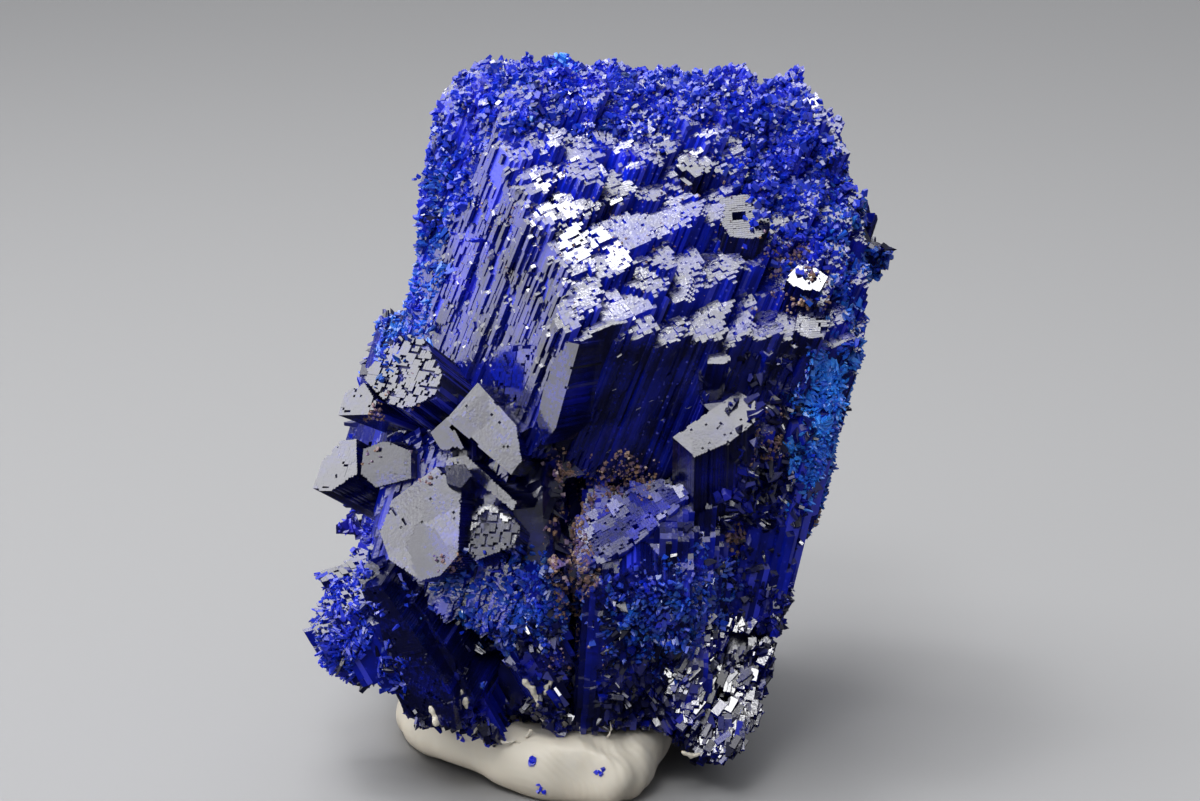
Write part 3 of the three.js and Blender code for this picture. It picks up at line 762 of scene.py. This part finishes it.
def prismTree(material):  # a prism on each point, sheared to the point's own edges
    tree = bpy.data.node_groups.new("growPrisms", "GeometryNodeTree")
    face = tree.interface
    face.new_socket("Geometry", in_out="INPUT", socket_type="NodeSocketGeometry")
    for name, value in (("Tip Share", 1.0), ("Tip Slant", 0.0)):
        face.new_socket(name, in_out="INPUT", socket_type="NodeSocketFloat").default_value = value
    face.new_socket("Geometry", in_out="OUTPUT", socket_type="NodeSocketGeometry")
    points, tipShare, tipSlant = tree.nodes.new("NodeGroupInput").outputs[:3]
    cube = addNode(tree, "GeometryNodeMeshCube").outputs[0]
    position = addNode(tree, "GeometryNodeInputPosition").outputs[0]
    x, y, z = partsOf(tree, position)
    raised = compute(tree, "ADD", z, compute(tree, "MULTIPLY", x, tipSlant))
    narrow = [compute(tree, "MULTIPLY", side, tipShare) for side in (x, y)]
    tip = addNode(tree, "ShaderNodeCombineXYZ", enumerate((*narrow, raised))).outputs[0]
    atTip = compute(tree, "GREATER_THAN", z, 0.0)
    cut = addNode(tree, "GeometryNodeSetPosition",
                  (("Geometry", cube), ("Selection", atTip), ("Position", tip)))
    standing = addNode(tree, "GeometryNodeInstanceOnPoints",
                       (("Points", points), ("Instance", cut.outputs[0])))
    edges = [addNode(tree, "GeometryNodeInputNamedAttribute", (("Name", name),), data_type="FLOAT_VECTOR")
             for name in edgeNames]
    place = addNode(tree, "FunctionNodeCombineMatrix")
    for column, vector in enumerate((*[edge.outputs[0] for edge in edges], position)):
        for row, part in enumerate(partsOf(tree, vector)):
            tree.links.new(part, place.inputs[column * 4 + row])
    sheared = addNode(tree, "GeometryNodeSetInstanceTransform",
                      ((0, standing.outputs[0]), ("Transform", place.outputs[0])))
    real = addNode(tree, "GeometryNodeRealizeInstances", ((0, sheared.outputs[0]),))
    coloured = addNode(tree, "GeometryNodeSetMaterial", ((0, real.outputs[0]), ("Material", material)))
    tree.links.new(coloured.outputs[0], tree.nodes.new("NodeGroupOutput").inputs[0])
    return tree


def bake(piece, tree, settings):  # runs a tree on a piece and keeps only the plain mesh
    modifier = piece.modifiers.new("grow", "NODES")
    modifier.node_group = tree
    for item in tree.interface.items_tree:
        if item.name in settings:
            modifier[item.identifier] = settings[item.name]
    depsgraph = bpy.context.evaluated_depsgraph_get()
    mesh = bpy.data.meshes.new_from_object(piece.evaluated_get(depsgraph))
    piece.modifiers.remove(modifier)
    old = piece.data
    piece.data = mesh
    bpy.data.meshes.remove(old)
    for name in edgeNames:
        if name in mesh.attributes:
            mesh.attributes.remove(mesh.attributes[name])


def growPiece(name, sets, tree, tipShare=1.0, tipSlant=0.0):
    every = {key: np.concatenate([one[key] for one in sets]) for key in sets[0]}
    half = sum(np.abs(every[key]) for key in edgeNames) / 2
    keep = every["at"][:, 2] - half[:, 2] > leastHeight
    middle, radii = hollow
    offset = (every["at"] - middle) / radii
    edge = every["edgeC"] / radii
    share = np.clip(-(offset * edge).sum(1) / ((edge ** 2).sum(1) + tiny), -0.5, 0.5)
    keep &= np.linalg.norm(offset + share[:, None] * edge, axis=1) > 1
    every = {key: value[keep] for key, value in every.items()}
    insideOut = np.einsum("ij,ij->i", np.cross(every["edgeA"], every["edgeB"]), every["edgeC"]) < 0
    every["edgeA"][insideOut] *= -1
    mesh = bpy.data.meshes.new(name)
    mesh.vertices.add(len(every["at"]))
    movePoints(mesh, every["at"])
    for key in (*edgeNames, "finish", "crust"):
        storeVectors(mesh, key, every[key] * (mm if key in edgeNames else 1))
    piece = newPiece(name, mesh)
    bake(piece, tree, {"Tip Share": tipShare, "Tip Slant": tipSlant})
    piece.data.name = name
    print(f"{name}: {len(every['at'])} crystals, {2 * len(piece.data.polygons)} triangles")
    return piece


azuriteLook = {
    "navy": (0.0012, 0.0016, 0.022), "ultramarine": (0.004, 0.018, 0.6), "violet": (0.03, 0.007, 0.50),
    "sky": (0.03, 0.24, 0.85), "rustDark": (0.10, 0.045, 0.025), "rustPale": (0.40, 0.24, 0.15),
    "ior": 1.84, "gloss": 0.06, "dullness": 0.5, "speckSize": 0.42, "speckRim": (0.30, 0.22),
    "speckShare": (0.5, 0.54), "speckDepth": 0.5, "speckHeight": 1.5, "grainSize": 0.24, "grain": 0.5,
    "flatGrain": 0.32, "grainHeight": 0.00003, "cloudScale": 260, "cloud": (1.1, -0.55), "contrast": 1.3,
    # tipFacing, tipFrom and the tip depth below paint shade: faces turned towards tipFacing get a darker base
    # colour
    "warm": (0.55, 0.75, 0.0, 0.45), "tipFacing": (-0.2, -0.58, 0.79), "tipFrom": (0.9, 0.96),
    "tipPaintedShade": 0.35,
}


def azuriteMaterial():
    look = azuriteLook
    material, tree, shader = newMaterial("azurite")
    shader.inputs["IOR"].default_value = look["ior"]
    coords = addNode(tree, "ShaderNodeTexCoord")
    at = coords.outputs["Object"]
    # painted shade: faces turned towards the lights' mirror direction, mostly crystal tips, get a darker base
    # colour, down to 0.35 of their depth, so they show navy under their reflection
    facing = addNode(tree, "ShaderNodeVectorMath",
                     ((0, coords.outputs["Normal"]), (1, unit(look["tipFacing"]))),
                     operation="DOT_PRODUCT").outputs["Value"]
    paintedTipShade = ramp(tree, facing, *look["tipFrom"], 1.0, look["tipPaintedShade"])
    finish, crust = (addNode(tree, "ShaderNodeAttribute", attribute_name=name).outputs["Vector"]
                     for name in ("finish", "crust"))
    tone, dull, sky = partsOf(tree, finish)
    rust, pepper, _ = partsOf(tree, crust)
    cloud = noise(tree, at, look["cloudScale"], 4)
    fine = noise(tree, at, 1000 / look["grainSize"], 3)
    specks = addNode(tree, "ShaderNodeTexVoronoi", (("Vector", at), ("Scale", 1000 / look["speckSize"])))
    chance = addNode(tree, "ShaderNodeSeparateColor", ((0, specks.outputs["Color"]),)).outputs[0]
    speck = compute(tree, "MULTIPLY", ramp(tree, specks.outputs["Distance"], *look["speckRim"]),
                    ramp(tree, chance, *look["speckShare"]))
    speck = compute(tree, "MULTIPLY", speck, pepper)
    depth = compute(tree, "ADD", tone, compute(tree, "MULTIPLY_ADD", cloud, *look["cloud"]))
    depth = compute(tree, "ADD", depth, compute(tree, "MULTIPLY", speck, look["speckDepth"]), clamp=True)
    depth = compute(tree, "MULTIPLY", compute(tree, "POWER", depth, look["contrast"]), paintedTipShade)
    warm = compute(tree, "MULTIPLY", ramp(tree, cloud, *look["warm"]), depth)
    colour = mixColour(tree, depth, look["navy"], look["ultramarine"])
    colour = mixColour(tree, warm, colour, look["violet"])
    colour = mixColour(tree, sky, colour, look["sky"])
    colour = mixColour(tree, rust, colour, mixColour(tree, fine, look["rustDark"], look["rustPale"]))
    tree.links.new(colour, shader.inputs["Base Color"])
    worn = compute(tree, "MAXIMUM", compute(tree, "MAXIMUM", dull, rust), speck)
    rough = ramp(tree, worn, 0.0, 1.0, look["gloss"], look["dullness"])
    tree.links.new(rough, shader.inputs["Roughness"])
    height = compute(tree, "SUBTRACT", fine, compute(tree, "MULTIPLY", speck, look["speckHeight"]))
    strength = compute(tree, "MULTIPLY_ADD", pepper, look["grain"], look["flatGrain"])
    bump = addNode(tree, "ShaderNodeBump",
                   (("Height", height), ("Strength", strength), ("Distance", look["grainHeight"])))
    tree.links.new(bump.outputs[0], shader.inputs["Normal"])
    return material


tackLook = {
    # the cream is about 0.7 of the putty's own colour: painted shade for the wad that sits low under the
    # cluster
    "creamWithPaintedShade": (0.56, 0.52, 0.44), "stain": (0.44, 0.33, 0.21), "shade": (0.64, 0.62, 0.57), "cloudScale": 180,
    "stainHeights": (0.0025, 0.0, 0.0, 0.6), "shadeFrom": (0.6, 0.8, 0.0, 0.5),
    "Roughness": 0.42, "Subsurface Weight": 0.15, "Subsurface Radius": (0.002, 0.0015, 0.001),
}


def tackMaterial():
    look = tackLook
    material, tree, shader = newMaterial("tack")
    at = addNode(tree, "ShaderNodeTexCoord").outputs["Object"]
    cloud = noise(tree, at, look["cloudScale"], 3)
    low = ramp(tree, partsOf(tree, at)[2], *look["stainHeights"])
    colour = mixColour(tree, compute(tree, "MULTIPLY", low, cloud), look["creamWithPaintedShade"], look["stain"])
    colour = mixColour(tree, ramp(tree, cloud, *look["shadeFrom"]), colour, look["shade"])
    tree.links.new(colour, shader.inputs["Base Color"])
    for name in ("Roughness", "Subsurface Weight", "Subsurface Radius"):
        shader.inputs[name].default_value = look[name]
    return material


def coreFaces():  # the cluster's own triangles in growth millimetres, their directions and their areas
    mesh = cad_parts["azurite_cluster"].data
    points = coordsOf(mesh, float)[trianglesOf(mesh)]
    normal = np.cross(points[:, 1] - points[:, 0], points[:, 2] - points[:, 0])
    area = np.linalg.norm(normal, axis=1)
    return points, normal / (area[:, None] + 1e-12), area / 2


def remeshed(mesh, name, voxel, smooth, finer=0):  # one even skin round a mesh, with its corners eased
    piece = newPiece(name, mesh)
    remesh = piece.modifiers.new("remesh", "REMESH")
    remesh.mode = "VOXEL"
    remesh.voxel_size = voxel * mm
    piece.modifiers.new("smooth", "SMOOTH").iterations = smooth
    if finer:
        split = piece.modifiers.new("finer", "SUBSURF")
        split.levels = split.render_levels = finer
    made = bpy.data.meshes.new_from_object(piece.evaluated_get(bpy.context.evaluated_depsgraph_get()))
    piece.modifiers.clear()
    piece.data = made
    made.materials.clear()
    return piece


def outwardOf(mesh):
    return np.array([v.normal[:] for v in mesh.vertices])


def mergedCopy(node):
    shape = bmesh.new()
    shape.from_mesh(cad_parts[node].data)
    bmesh.ops.remove_doubles(shape, verts=shape.verts, dist=1e-7)
    return shape


def meshFrom(shape, name):
    mesh = bpy.data.meshes.new(name)
    shape.to_mesh(mesh)
    shape.free()
    return mesh


def withMaterial(piece, material):
    piece.data.materials.append(material)
    print(f"{piece.name}: {len(piece.data.polygons)} faces")
    return piece


heartShape = {"voxel": 0.9, "smooth": 10, "sink": 2.2, "hollowDepth": 7.0, "hollowFade": 1.6,
              "finish": (0.15, 0.4, 0.0)}


def makeHeart(material):  # the solid crystal under the fine columns, a little smaller than the cluster
    look = heartShape
    mesh = meshFrom(mergedCopy("azurite_cluster"), "heart")
    piece = remeshed(mesh, "heart", look["voxel"], look["smooth"])
    points = coordsOf(piece.data)
    points -= outwardOf(piece.data) * look["sink"]
    away = np.linalg.norm((points - hollow[0]) / hollow[1], axis=1)
    points[:, 1] += look["hollowDepth"] * np.clip(1 - away / look["hollowFade"], 0, 1)
    movePoints(piece.data, points)
    storeVectors(piece.data, "finish", np.tile(look["finish"], len(points)))
    return withMaterial(piece, material)


# Crusts of small crystals: where they grow, how many, and how each stands.
crustShared = {
    "facing": (0, 0, 1), "facingLeast": -1.1, "reach": 4, "tries": 8, "fade": 1.3, "bare": (),
    "size": (0.3, 0.8), "thin": (0.4, 0.9), "tall": (1.2, 2.4), "spread": 0.5, "loose": 0.6, "cluster": 2.5,
    "lift": 0.08, "lumpy": 0.25, "lumps": 3, "tone": 0.8, "dull": 0.6, "sky": 0, "rust": 0,
}
bladeRoom = ((-14.5, -14.5, 12.5), (4.6, 5, 7.5))
lumpRoom = ((12.5, -11, 8.2), (5.2, 7, 7))
topDruse = [
    {"count": 13500, "size": (0.25, 0.66), "tall": (0.8, 1.5), "facingLeast": -0.3, "lumpy": 0.5,
     "lumps": 2.4,
     "tone": 0.95, "dull": 0.45, "sky": 0.05,
     "zones": (((0, 12, 61), (26, 18, 4.5)), ((-15, 6, 55), (5, 11, 7)), ((20, 5, 54), (6, 13, 9)))},
    {"count": 500, "size": (0.25, 0.6), "sky": 0.8,
     "zones": (((-5, 4, 59), (1.3, 2, 1)), ((-3, 12, 62), (3.5, 2, 1.5)), ((13, 9, 61), (2, 2.5, 1.2)))},
]
blueDruse = [
    {"count": 1500, "size": (0.22, 0.5), "sky": 0.04, "tone": 0.85,
     "zones": (((-21.5, -9.5, 14.5), (4, 6, 4.6)),)},
    {"count": 2600, "size": (0.25, 0.6), "tall": (0.8, 1.5), "loose": 0.35, "sky": 0.14, "tone": 0.7,
     "bare": (bladeRoom, lumpRoom),
     "zones": (((6.5, -14, 17), (5.5, 6, 5)), ((-7, -15, 18), (5.5, 5, 4)))},
    {"count": 5200, "size": (0.22, 0.5), "facing": (0.8, -0.6, 0), "facingLeast": 0, "lift": 0.12,
     "sky": 0.75, "tone": 0.9, "zones": (((21, -5, 29), (3, 9, 8.5)),)},
    {"count": 700, "size": (0.22, 0.55), "zones": (((-21.8, 0.5, 20.5), (3, 5, 3)),)},
    {"count": 4200, "size": (0.22, 0.5), "sky": 0.3,
     "zones": (((25, 2, 42), (3, 12, 13)), ((-18, 8, 46), (4, 14, 12)))},
]
roughRock = [
    {"count": 2200, "size": (0.35, 1.3), "tall": (0.7, 1.5), "loose": 0.25, "cluster": 4, "lumpy": 0.4,
     "tone": 0.1, "dull": 0.35, "bare": (bladeRoom, hollow, lumpRoom),
     "zones": (((-12, -12, 6), (13, 9, 6)), ((2, -13, 9), (8, 6, 6)), ((-1, -15, 12), (5, 5, 6)))},
    {"count": 1300, "size": (0.3, 1.0), "tall": (0.7, 1.4), "loose": 0.3, "tone": 0.15, "dull": 0.4,
     "bare": (lumpRoom,), "zones": (((17, -9, 24), (5.5, 5, 12)),)},
    {"count": 8000, "size": (0.4, 1.1), "tall": (0.8, 1.5), "facing": (0, 1, 0), "facingLeast": 0.1,
     "tone": 0.3, "dull": 0.5, "zones": (((0, 22, 26), (30, 13, 29)),)},
]
flakes = [
    {"count": 1300, "size": (0.4, 1.7), "thin": (0.25, 0.6), "tall": (0.12, 0.3), "spread": 0.3,
     "broad": (-0.086, -0.803, 0.59), "length": (0.3, 0.5, 0.8), "lift": 0.15, "lumpy": 0.3,
     "tone": 0.15, "dull": 0.05, "zones": (((13, -11, 8), (4.6, 6, 6)),)},
]
rusty = {"size": (0.12, 0.34), "thin": (0.7, 1), "tall": (0.7, 1.2), "lift": 0.05, "rust": 0.85, "dull": 0.8}
ironCrust = [
    {**rusty, "count": 1500, "zones": (((1.5, -11, 28.4), (4.6, 5, 1.5)), ((-1, -14, 14.5), (1.8, 5, 3.8)))},
    {**rusty, "count": 900, "size": (0.16, 0.42), "facing": (0, -1, 0.2), "facingLeast": 0.3,
     "zones": (((-1.2, -14, 20.5), (1.1, 7, 6.5)),)},
    {**rusty, "count": 700, "zones": (((15.7, -9, 30.9), (2, 5, 1.7)), ((13, -9, 21.6), (1, 4, 1.6)))},
    {**rusty, "count": 420, "size": (0.2, 0.5),
     "zones": (((12.6, -9, 21.6), (1.1, 5, 1.6)), ((18.6, -6, 22.3), (1.5, 5, 1.5)))},
    {**rusty, "count": 500, "size": (0.15, 0.45), "tone": 1, "zones": (((19.5, -6, 22.2), (1.6, 5, 1.4)),)},
    {**rusty, "count": 600, "bare": (((19, -5.2, 45.3), (2.4, 4, 1.6)),),
     "zones": (((19, -4, 46), (2.8, 4, 2.8)),)},
    {**rusty, "count": 350,
     "zones": (((-18.9, -9, 33.5), (1, 3, 1.3)), ((-14.2, -13, 29.3), (0.9, 3, 0.9)),
               ((-11.8, -17, 22.7), (1.4, 2, 0.9)))},
    {**rusty, "count": 1100, "size": (0.08, 0.2), "zones": (((2, 0, 54), (24, 14, 9)),)},
]


def finishPiece(piece, node):
    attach(piece, "root")
    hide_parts(node)


def surfaceOf(pieces):  # everything grown so far, in growth millimetres, for finding where crusts sit
    points, faces, start = [], [], 0
    for piece in pieces:
        points.append(coordsOf(piece.data))
        faces.append(trianglesOf(piece.data) + start)
        start += len(piece.data.vertices)
    return BVHTree.FromPolygons(np.concatenate(points).tolist(), np.concatenate(faces).tolist(),
                                all_triangles=True)


def frontOf(tree, x, z, reach):  # where a line that comes from the front first meets it
    return tree.ray_cast(Vector((x, -40, z)), Vector((0, 1, 0)), reach)[0]


azurite = azuriteMaterial()
prismGrowth = prismTree(azurite)
corePoints, coreNormals, coreAreas = coreFaces()
azuritePieces = [makeHeart(azurite)]
for name, fill, growths, seed in (
    ("upperColumns", fillWalls, [upperGrowth], 5),
    ("lowerColumns", fillWalls, lowerGrowths.values(), 40),
    ("rearColumns", fillWalls, rearGrowths.values(), 60),
    ("flatCrystals", fillFace, flatCrystals.values(), 80),
):
    azuritePieces.append(growPiece(name, [fill(g, seed + k) for k, g in enumerate(growths)], prismGrowth))
surface = surfaceOf(azuritePieces)
print("surface found")
for name, patches, seed, tipShare, tipSlant in (
    ("topDruse", topDruse, 120, 0.75, 0.3),
    ("blueDruse", blueDruse, 140, 0.55, 0.35),
    ("roughRock", roughRock, 180, 0.5, 0.5),
    ("flakes", flakes, 200, 0.9, 0.1),
    ("ironCrust", ironCrust, 160, 0.6, 0.2),
):
    grains = [grainsOn(patch, seed + k) for k, patch in enumerate(patches)]
    azuritePieces.append(growPiece(name, grains, prismGrowth, tipShare, tipSlant))
for piece in azuritePieces:
    finishPiece(piece, "azurite_cluster")

tackShape = {
    "voxel": 0.34, "smooth": 20, "lumpHeight": 0.4, "lumpWave": 8.0, "creaseHeight": 0.09, "creaseWave": 2.6,
    "ridgeHeight": 0.018, "ridgeWave": 0.62, "ridgeMiddle": (-7, -16, -1), "ridgePlace": (1, -15, 3),
    "ridgeReach": 7.0,
    "rolls": (  # soft ends left by rolling it between fingers: middle, half sizes, turn in degrees
        ((2.2, -13.6, 2.9), (1.9, 3.3, 2.9), 14),
        ((4.6, -8.5, 2.6), (1.9, 4.4, 2.6), -20),
    ),
}


def makeTack(material):
    look = tackShape
    shape = mergedCopy("mineral_tack")
    for middle, half, turn in look["rolls"]:
        place = Matrix.Translation(framePoint(middle)) @ Matrix.Rotation(math.radians(turn), 4, "Z")
        size = Matrix.Diagonal((*[v * mm for v in half], 1))
        bmesh.ops.create_uvsphere(shape, u_segments=32, v_segments=16, radius=1, matrix=place @ size)
    piece = remeshed(meshFrom(shape, "tackWad"), "tackWad", look["voxel"], look["smooth"], 1)
    points = coordsOf(piece.data)
    lump = look["lumpHeight"] * smoothNoise(points, look["lumpWave"], 7)
    crease = look["creaseHeight"] * smoothNoise(points * (1, 1, 0.4), look["creaseWave"], 8)
    pressed = np.clip(1.3 - np.linalg.norm(points - look["ridgePlace"], axis=1) / look["ridgeReach"], 0, 1)
    away = np.linalg.norm(points - look["ridgeMiddle"], axis=1) + 0.25 * smoothNoise(points, 5, 9)
    ridge = look["ridgeHeight"] * pressed * np.sin(away * 2 * math.pi / look["ridgeWave"])
    points += outwardOf(piece.data) * (lump + crease + ridge)[:, None]
    points[:, 2] = np.maximum(points[:, 2], -home[2])
    movePoints(piece.data, points)
    piece.data.shade_smooth()
    return withMaterial(piece, material)


tackSmears = {
    "voxel": 0.11, "smooth": 3, "deepest": -13.6, "dabs": 14, "dabSize": (0.22, 0.42), "stray": 0.12,
    "paths": (  # places on the crystal and the thickness there, in growth millimetres
        ((-5.8, 11.2, 0.5), (-5.3, 10.6, 0.75), (-4.9, 10, 0.6), (-4.7, 9.2, 0.3)),
        ((-3.2, 11.2, 0.35), (-3.7, 10.4, 0.7), (-4.4, 9.4, 0.55), (-4.6, 8.2, 0.4), (-4.1, 7.2, 0.45),
         (-3.2, 6.5, 0.4),
         (-2.3, 6.2, 0.3)),
        ((-13.9, 9, 0.5), (-13.6, 8.2, 0.8), (-13.3, 7.4, 0.8), (-12.9, 6.9, 0.5)),
        ((-11.2, 10.6, 0.4), (-10.9, 9.8, 0.7), (-10.7, 9, 0.45)),
        ((-8.6, 5.6, 0.3), (-7.6, 5.1, 0.45), (-6.6, 5.3, 0.35), (-5.9, 5, 0.25)),
        ((-0.9, 6.6, 0.2), (-0.8, 5.6, 0.25), (-0.9, 4.4, 0.22)),
        ((8.2, 4.2, 0.5), (9, 3.9, 0.55), (9.7, 4.1, 0.35)),
        ((-10.1, 6.2, 0.4), (-9.7, 6.9, 0.4), (-9.5, 7.6, 0.2)),
        ((-5.6, 5.6, 0.4), (-5.2, 6.3, 0.35)),
        ((1.6, 5.6, 0.35), (1.9, 6.4, 0.3), (1.8, 7.2, 0.2)),
    ),
}


def makeSmears(material):  # threads and dabs of tack pulled up over the crystal's foot
    look = tackSmears
    rng = np.random.default_rng(17)
    shape = bmesh.new()
    for path in look["paths"]:
        path = np.array(path)
        for n in np.linspace(0, len(path) - 1, look["dabs"] * (len(path) - 1)):
            k = min(int(n), len(path) - 2)
            x, z, size = path[k] + (path[k + 1] - path[k]) * (n - k)
            spot = frontOf(surface, x, z, 50)
            if spot is None:
                continue
            spot[1] = min(spot[1], look["deepest"])
            radius = size * rng.uniform(*look["dabSize"])
            place = Matrix.Translation(framePoint(np.array(spot) + rng.normal(size=3) * look["stray"] * size))
            bmesh.ops.create_icosphere(shape, subdivisions=2, radius=radius * mm, matrix=place)
    piece = remeshed(meshFrom(shape, "tackSmears"), "tackSmears", look["voxel"], look["smooth"])
    piece.data.shade_smooth()
    return withMaterial(piece, material)


chips = {"size": (0.16, 0.5), "each": 4, "cluster": 0.2,  # crumbs of azurite stuck on the wad
         "places": ((-5.2, 4.1), (-5.0, 3.9), (-8.9, 4.4), (-7.8, 5.2), (-4.4, 1.5), (0.8, 3.4),
                    (-11.5, 4.2))}


def chipsOn(wad):
    rng = np.random.default_rng(23)
    ground = surfaceOf([wad])
    spots = []
    for x, z in chips["places"]:
        for _ in range(chips["each"]):
            dx, dz = chips["cluster"] * rng.normal(size=2)
            spot = frontOf(ground, x + dx, z + dz, 60)
            if spot is not None:
                spots.append(spot[:])
    count = len(spots)
    edges = [rng.normal(size=(count, 3)) for _ in range(2)]
    edges[1] -= (edges[1] * edges[0]).sum(1)[:, None] * edges[0] / (edges[0] ** 2).sum(1)[:, None]
    edges.append(np.cross(*edges))
    edges = [unitRows(edge) * rng.uniform(*chips["size"], (count, 1)) for edge in edges]
    return prisms(np.array(spots), *edges, 1.0, 0.5)


tackFinish = tackMaterial()
wad = makeTack(tackFinish)
finishPiece(wad, "mineral_tack")
finishPiece(growPiece("chips", [chipsOn(wad)], prismGrowth, 0.8, 0.2), "azurite_cluster")
finishPiece(makeSmears(tackFinish), "mineral_tack")

# The camera's target and distance are millimetres, and the lights' distances and sizes are metres.
camera = {"target": (0.9, 0, 32.8), "distance": 300, "elevation": 14.0, "lens": 100, "clipEnd": 20}
lights = {
    "core": {"toward": (-0.31, 0.05, 0.96), "distance": 0.5, "size": (0.085, 0.085), "glow": 15},
    "overhead": {"toward": (-0.31, 0.05, 0.96), "distance": 0.52, "size": (0.42, 0.42), "glow": 4.3},
    "back": {"toward": (0, 0.8, 0.6), "distance": 1.7, "size": (1.6, 1.2), "glow": 1.3},
    "front": {"toward": (-0.12, -0.59, 0.8), "distance": 0.6, "size": (0.15, 0.13), "glow": 11},
    "frontSoft": {"toward": (-0.12, -0.59, 0.8), "distance": 0.62, "size": (0.42, 0.36), "glow": 1.7},
    "frontLeft": {"toward": (-0.6, -0.65, 0.46), "distance": 0.6, "size": (0.3, 0.28), "glow": 2.7},
    "shoulder": {"toward": (-0.8, 0.13, 0.57), "distance": 0.62, "size": (0.32, 0.3), "glow": 2.6},
    "left": {"toward": (-0.88, -0.1, 0.45), "distance": 0.65, "size": (0.9, 0.64), "glow": 1.9},
}
world = {"sky": (0.24, 0.245, 0.26), "ground": (0.02, 0.02, 0.025), "horizon": (-0.09, -0.01)}
floorLook = {"radius": 15, "sides": 96, "colour": (0.37, 0.37, 0.375), "roughness": 0.7,
             "unlitBy": ("left", "frontLeft", "shoulder")}
target = framePoint(camera["target"])
scene = bpy.context.scene


def aimedPiece(name, data, location):
    piece = newPiece(name, data)
    piece.location = location
    piece.rotation_euler = (target - piece.location).to_track_quat("-Z", "Y").to_euler()
    return piece


def makeCamera():
    data = bpy.data.cameras.new("camera")
    data.lens = camera["lens"]
    data.clip_end = camera["clipEnd"]
    rise = math.radians(camera["elevation"])
    away = Vector((0, -math.cos(rise), math.sin(rise))) * camera["distance"] * mm
    scene.camera = aimedPiece("camera", data, target + away)


def makeLights():
    for name, light in lights.items():
        data = bpy.data.lights.new(name, "AREA")
        data.shape = "RECTANGLE"
        data.size, data.size_y = light["size"]
        data.energy = light["glow"] * math.pi * data.size * data.size_y
        piece = aimedPiece(name, data, target + Vector(light["toward"]).normalized() * light["distance"])
        piece.visible_camera = False


def makeWorld():
    studio = bpy.data.worlds.new("studio")
    scene.world = studio
    studio.use_nodes = True
    tree = studio.node_tree
    rise = partsOf(tree, addNode(tree, "ShaderNodeTexCoord").outputs["Generated"])[2]
    colour = mixColour(tree, ramp(tree, rise, *world["horizon"]), world["ground"], world["sky"])
    tree.links.new(colour, tree.nodes["Background"].inputs["Color"])
    scene.view_settings.view_transform = "Standard"


def makeFloor():
    look = floorLook
    shape = bmesh.new()
    bmesh.ops.create_circle(shape, cap_ends=True, segments=look["sides"], radius=look["radius"])
    floor = newPiece("floor", meshFrom(shape, "floor"))
    material, _, shader = newMaterial("floor")
    shader.inputs["Base Color"].default_value = (*look["colour"], 1)
    shader.inputs["Roughness"].default_value = look["roughness"]
    floor.data.materials.append(material)
    floor.visible_glossy = False  # a dark room below, as polished faces that look down would see it
    # these panels stand close and would draw their edge on it
    unlit = bpy.data.collections.new("notLitByPanels")
    unlit.objects.link(floor)
    unlit.collection_objects[0].light_linking.link_state = "EXCLUDE"
    for name in look["unlitBy"]:
        bpy.data.objects[name].light_linking.receiver_collection = unlit


makeCamera()
makeLights()
makeWorld()
makeFloor()
print("camera, lights and floor set")
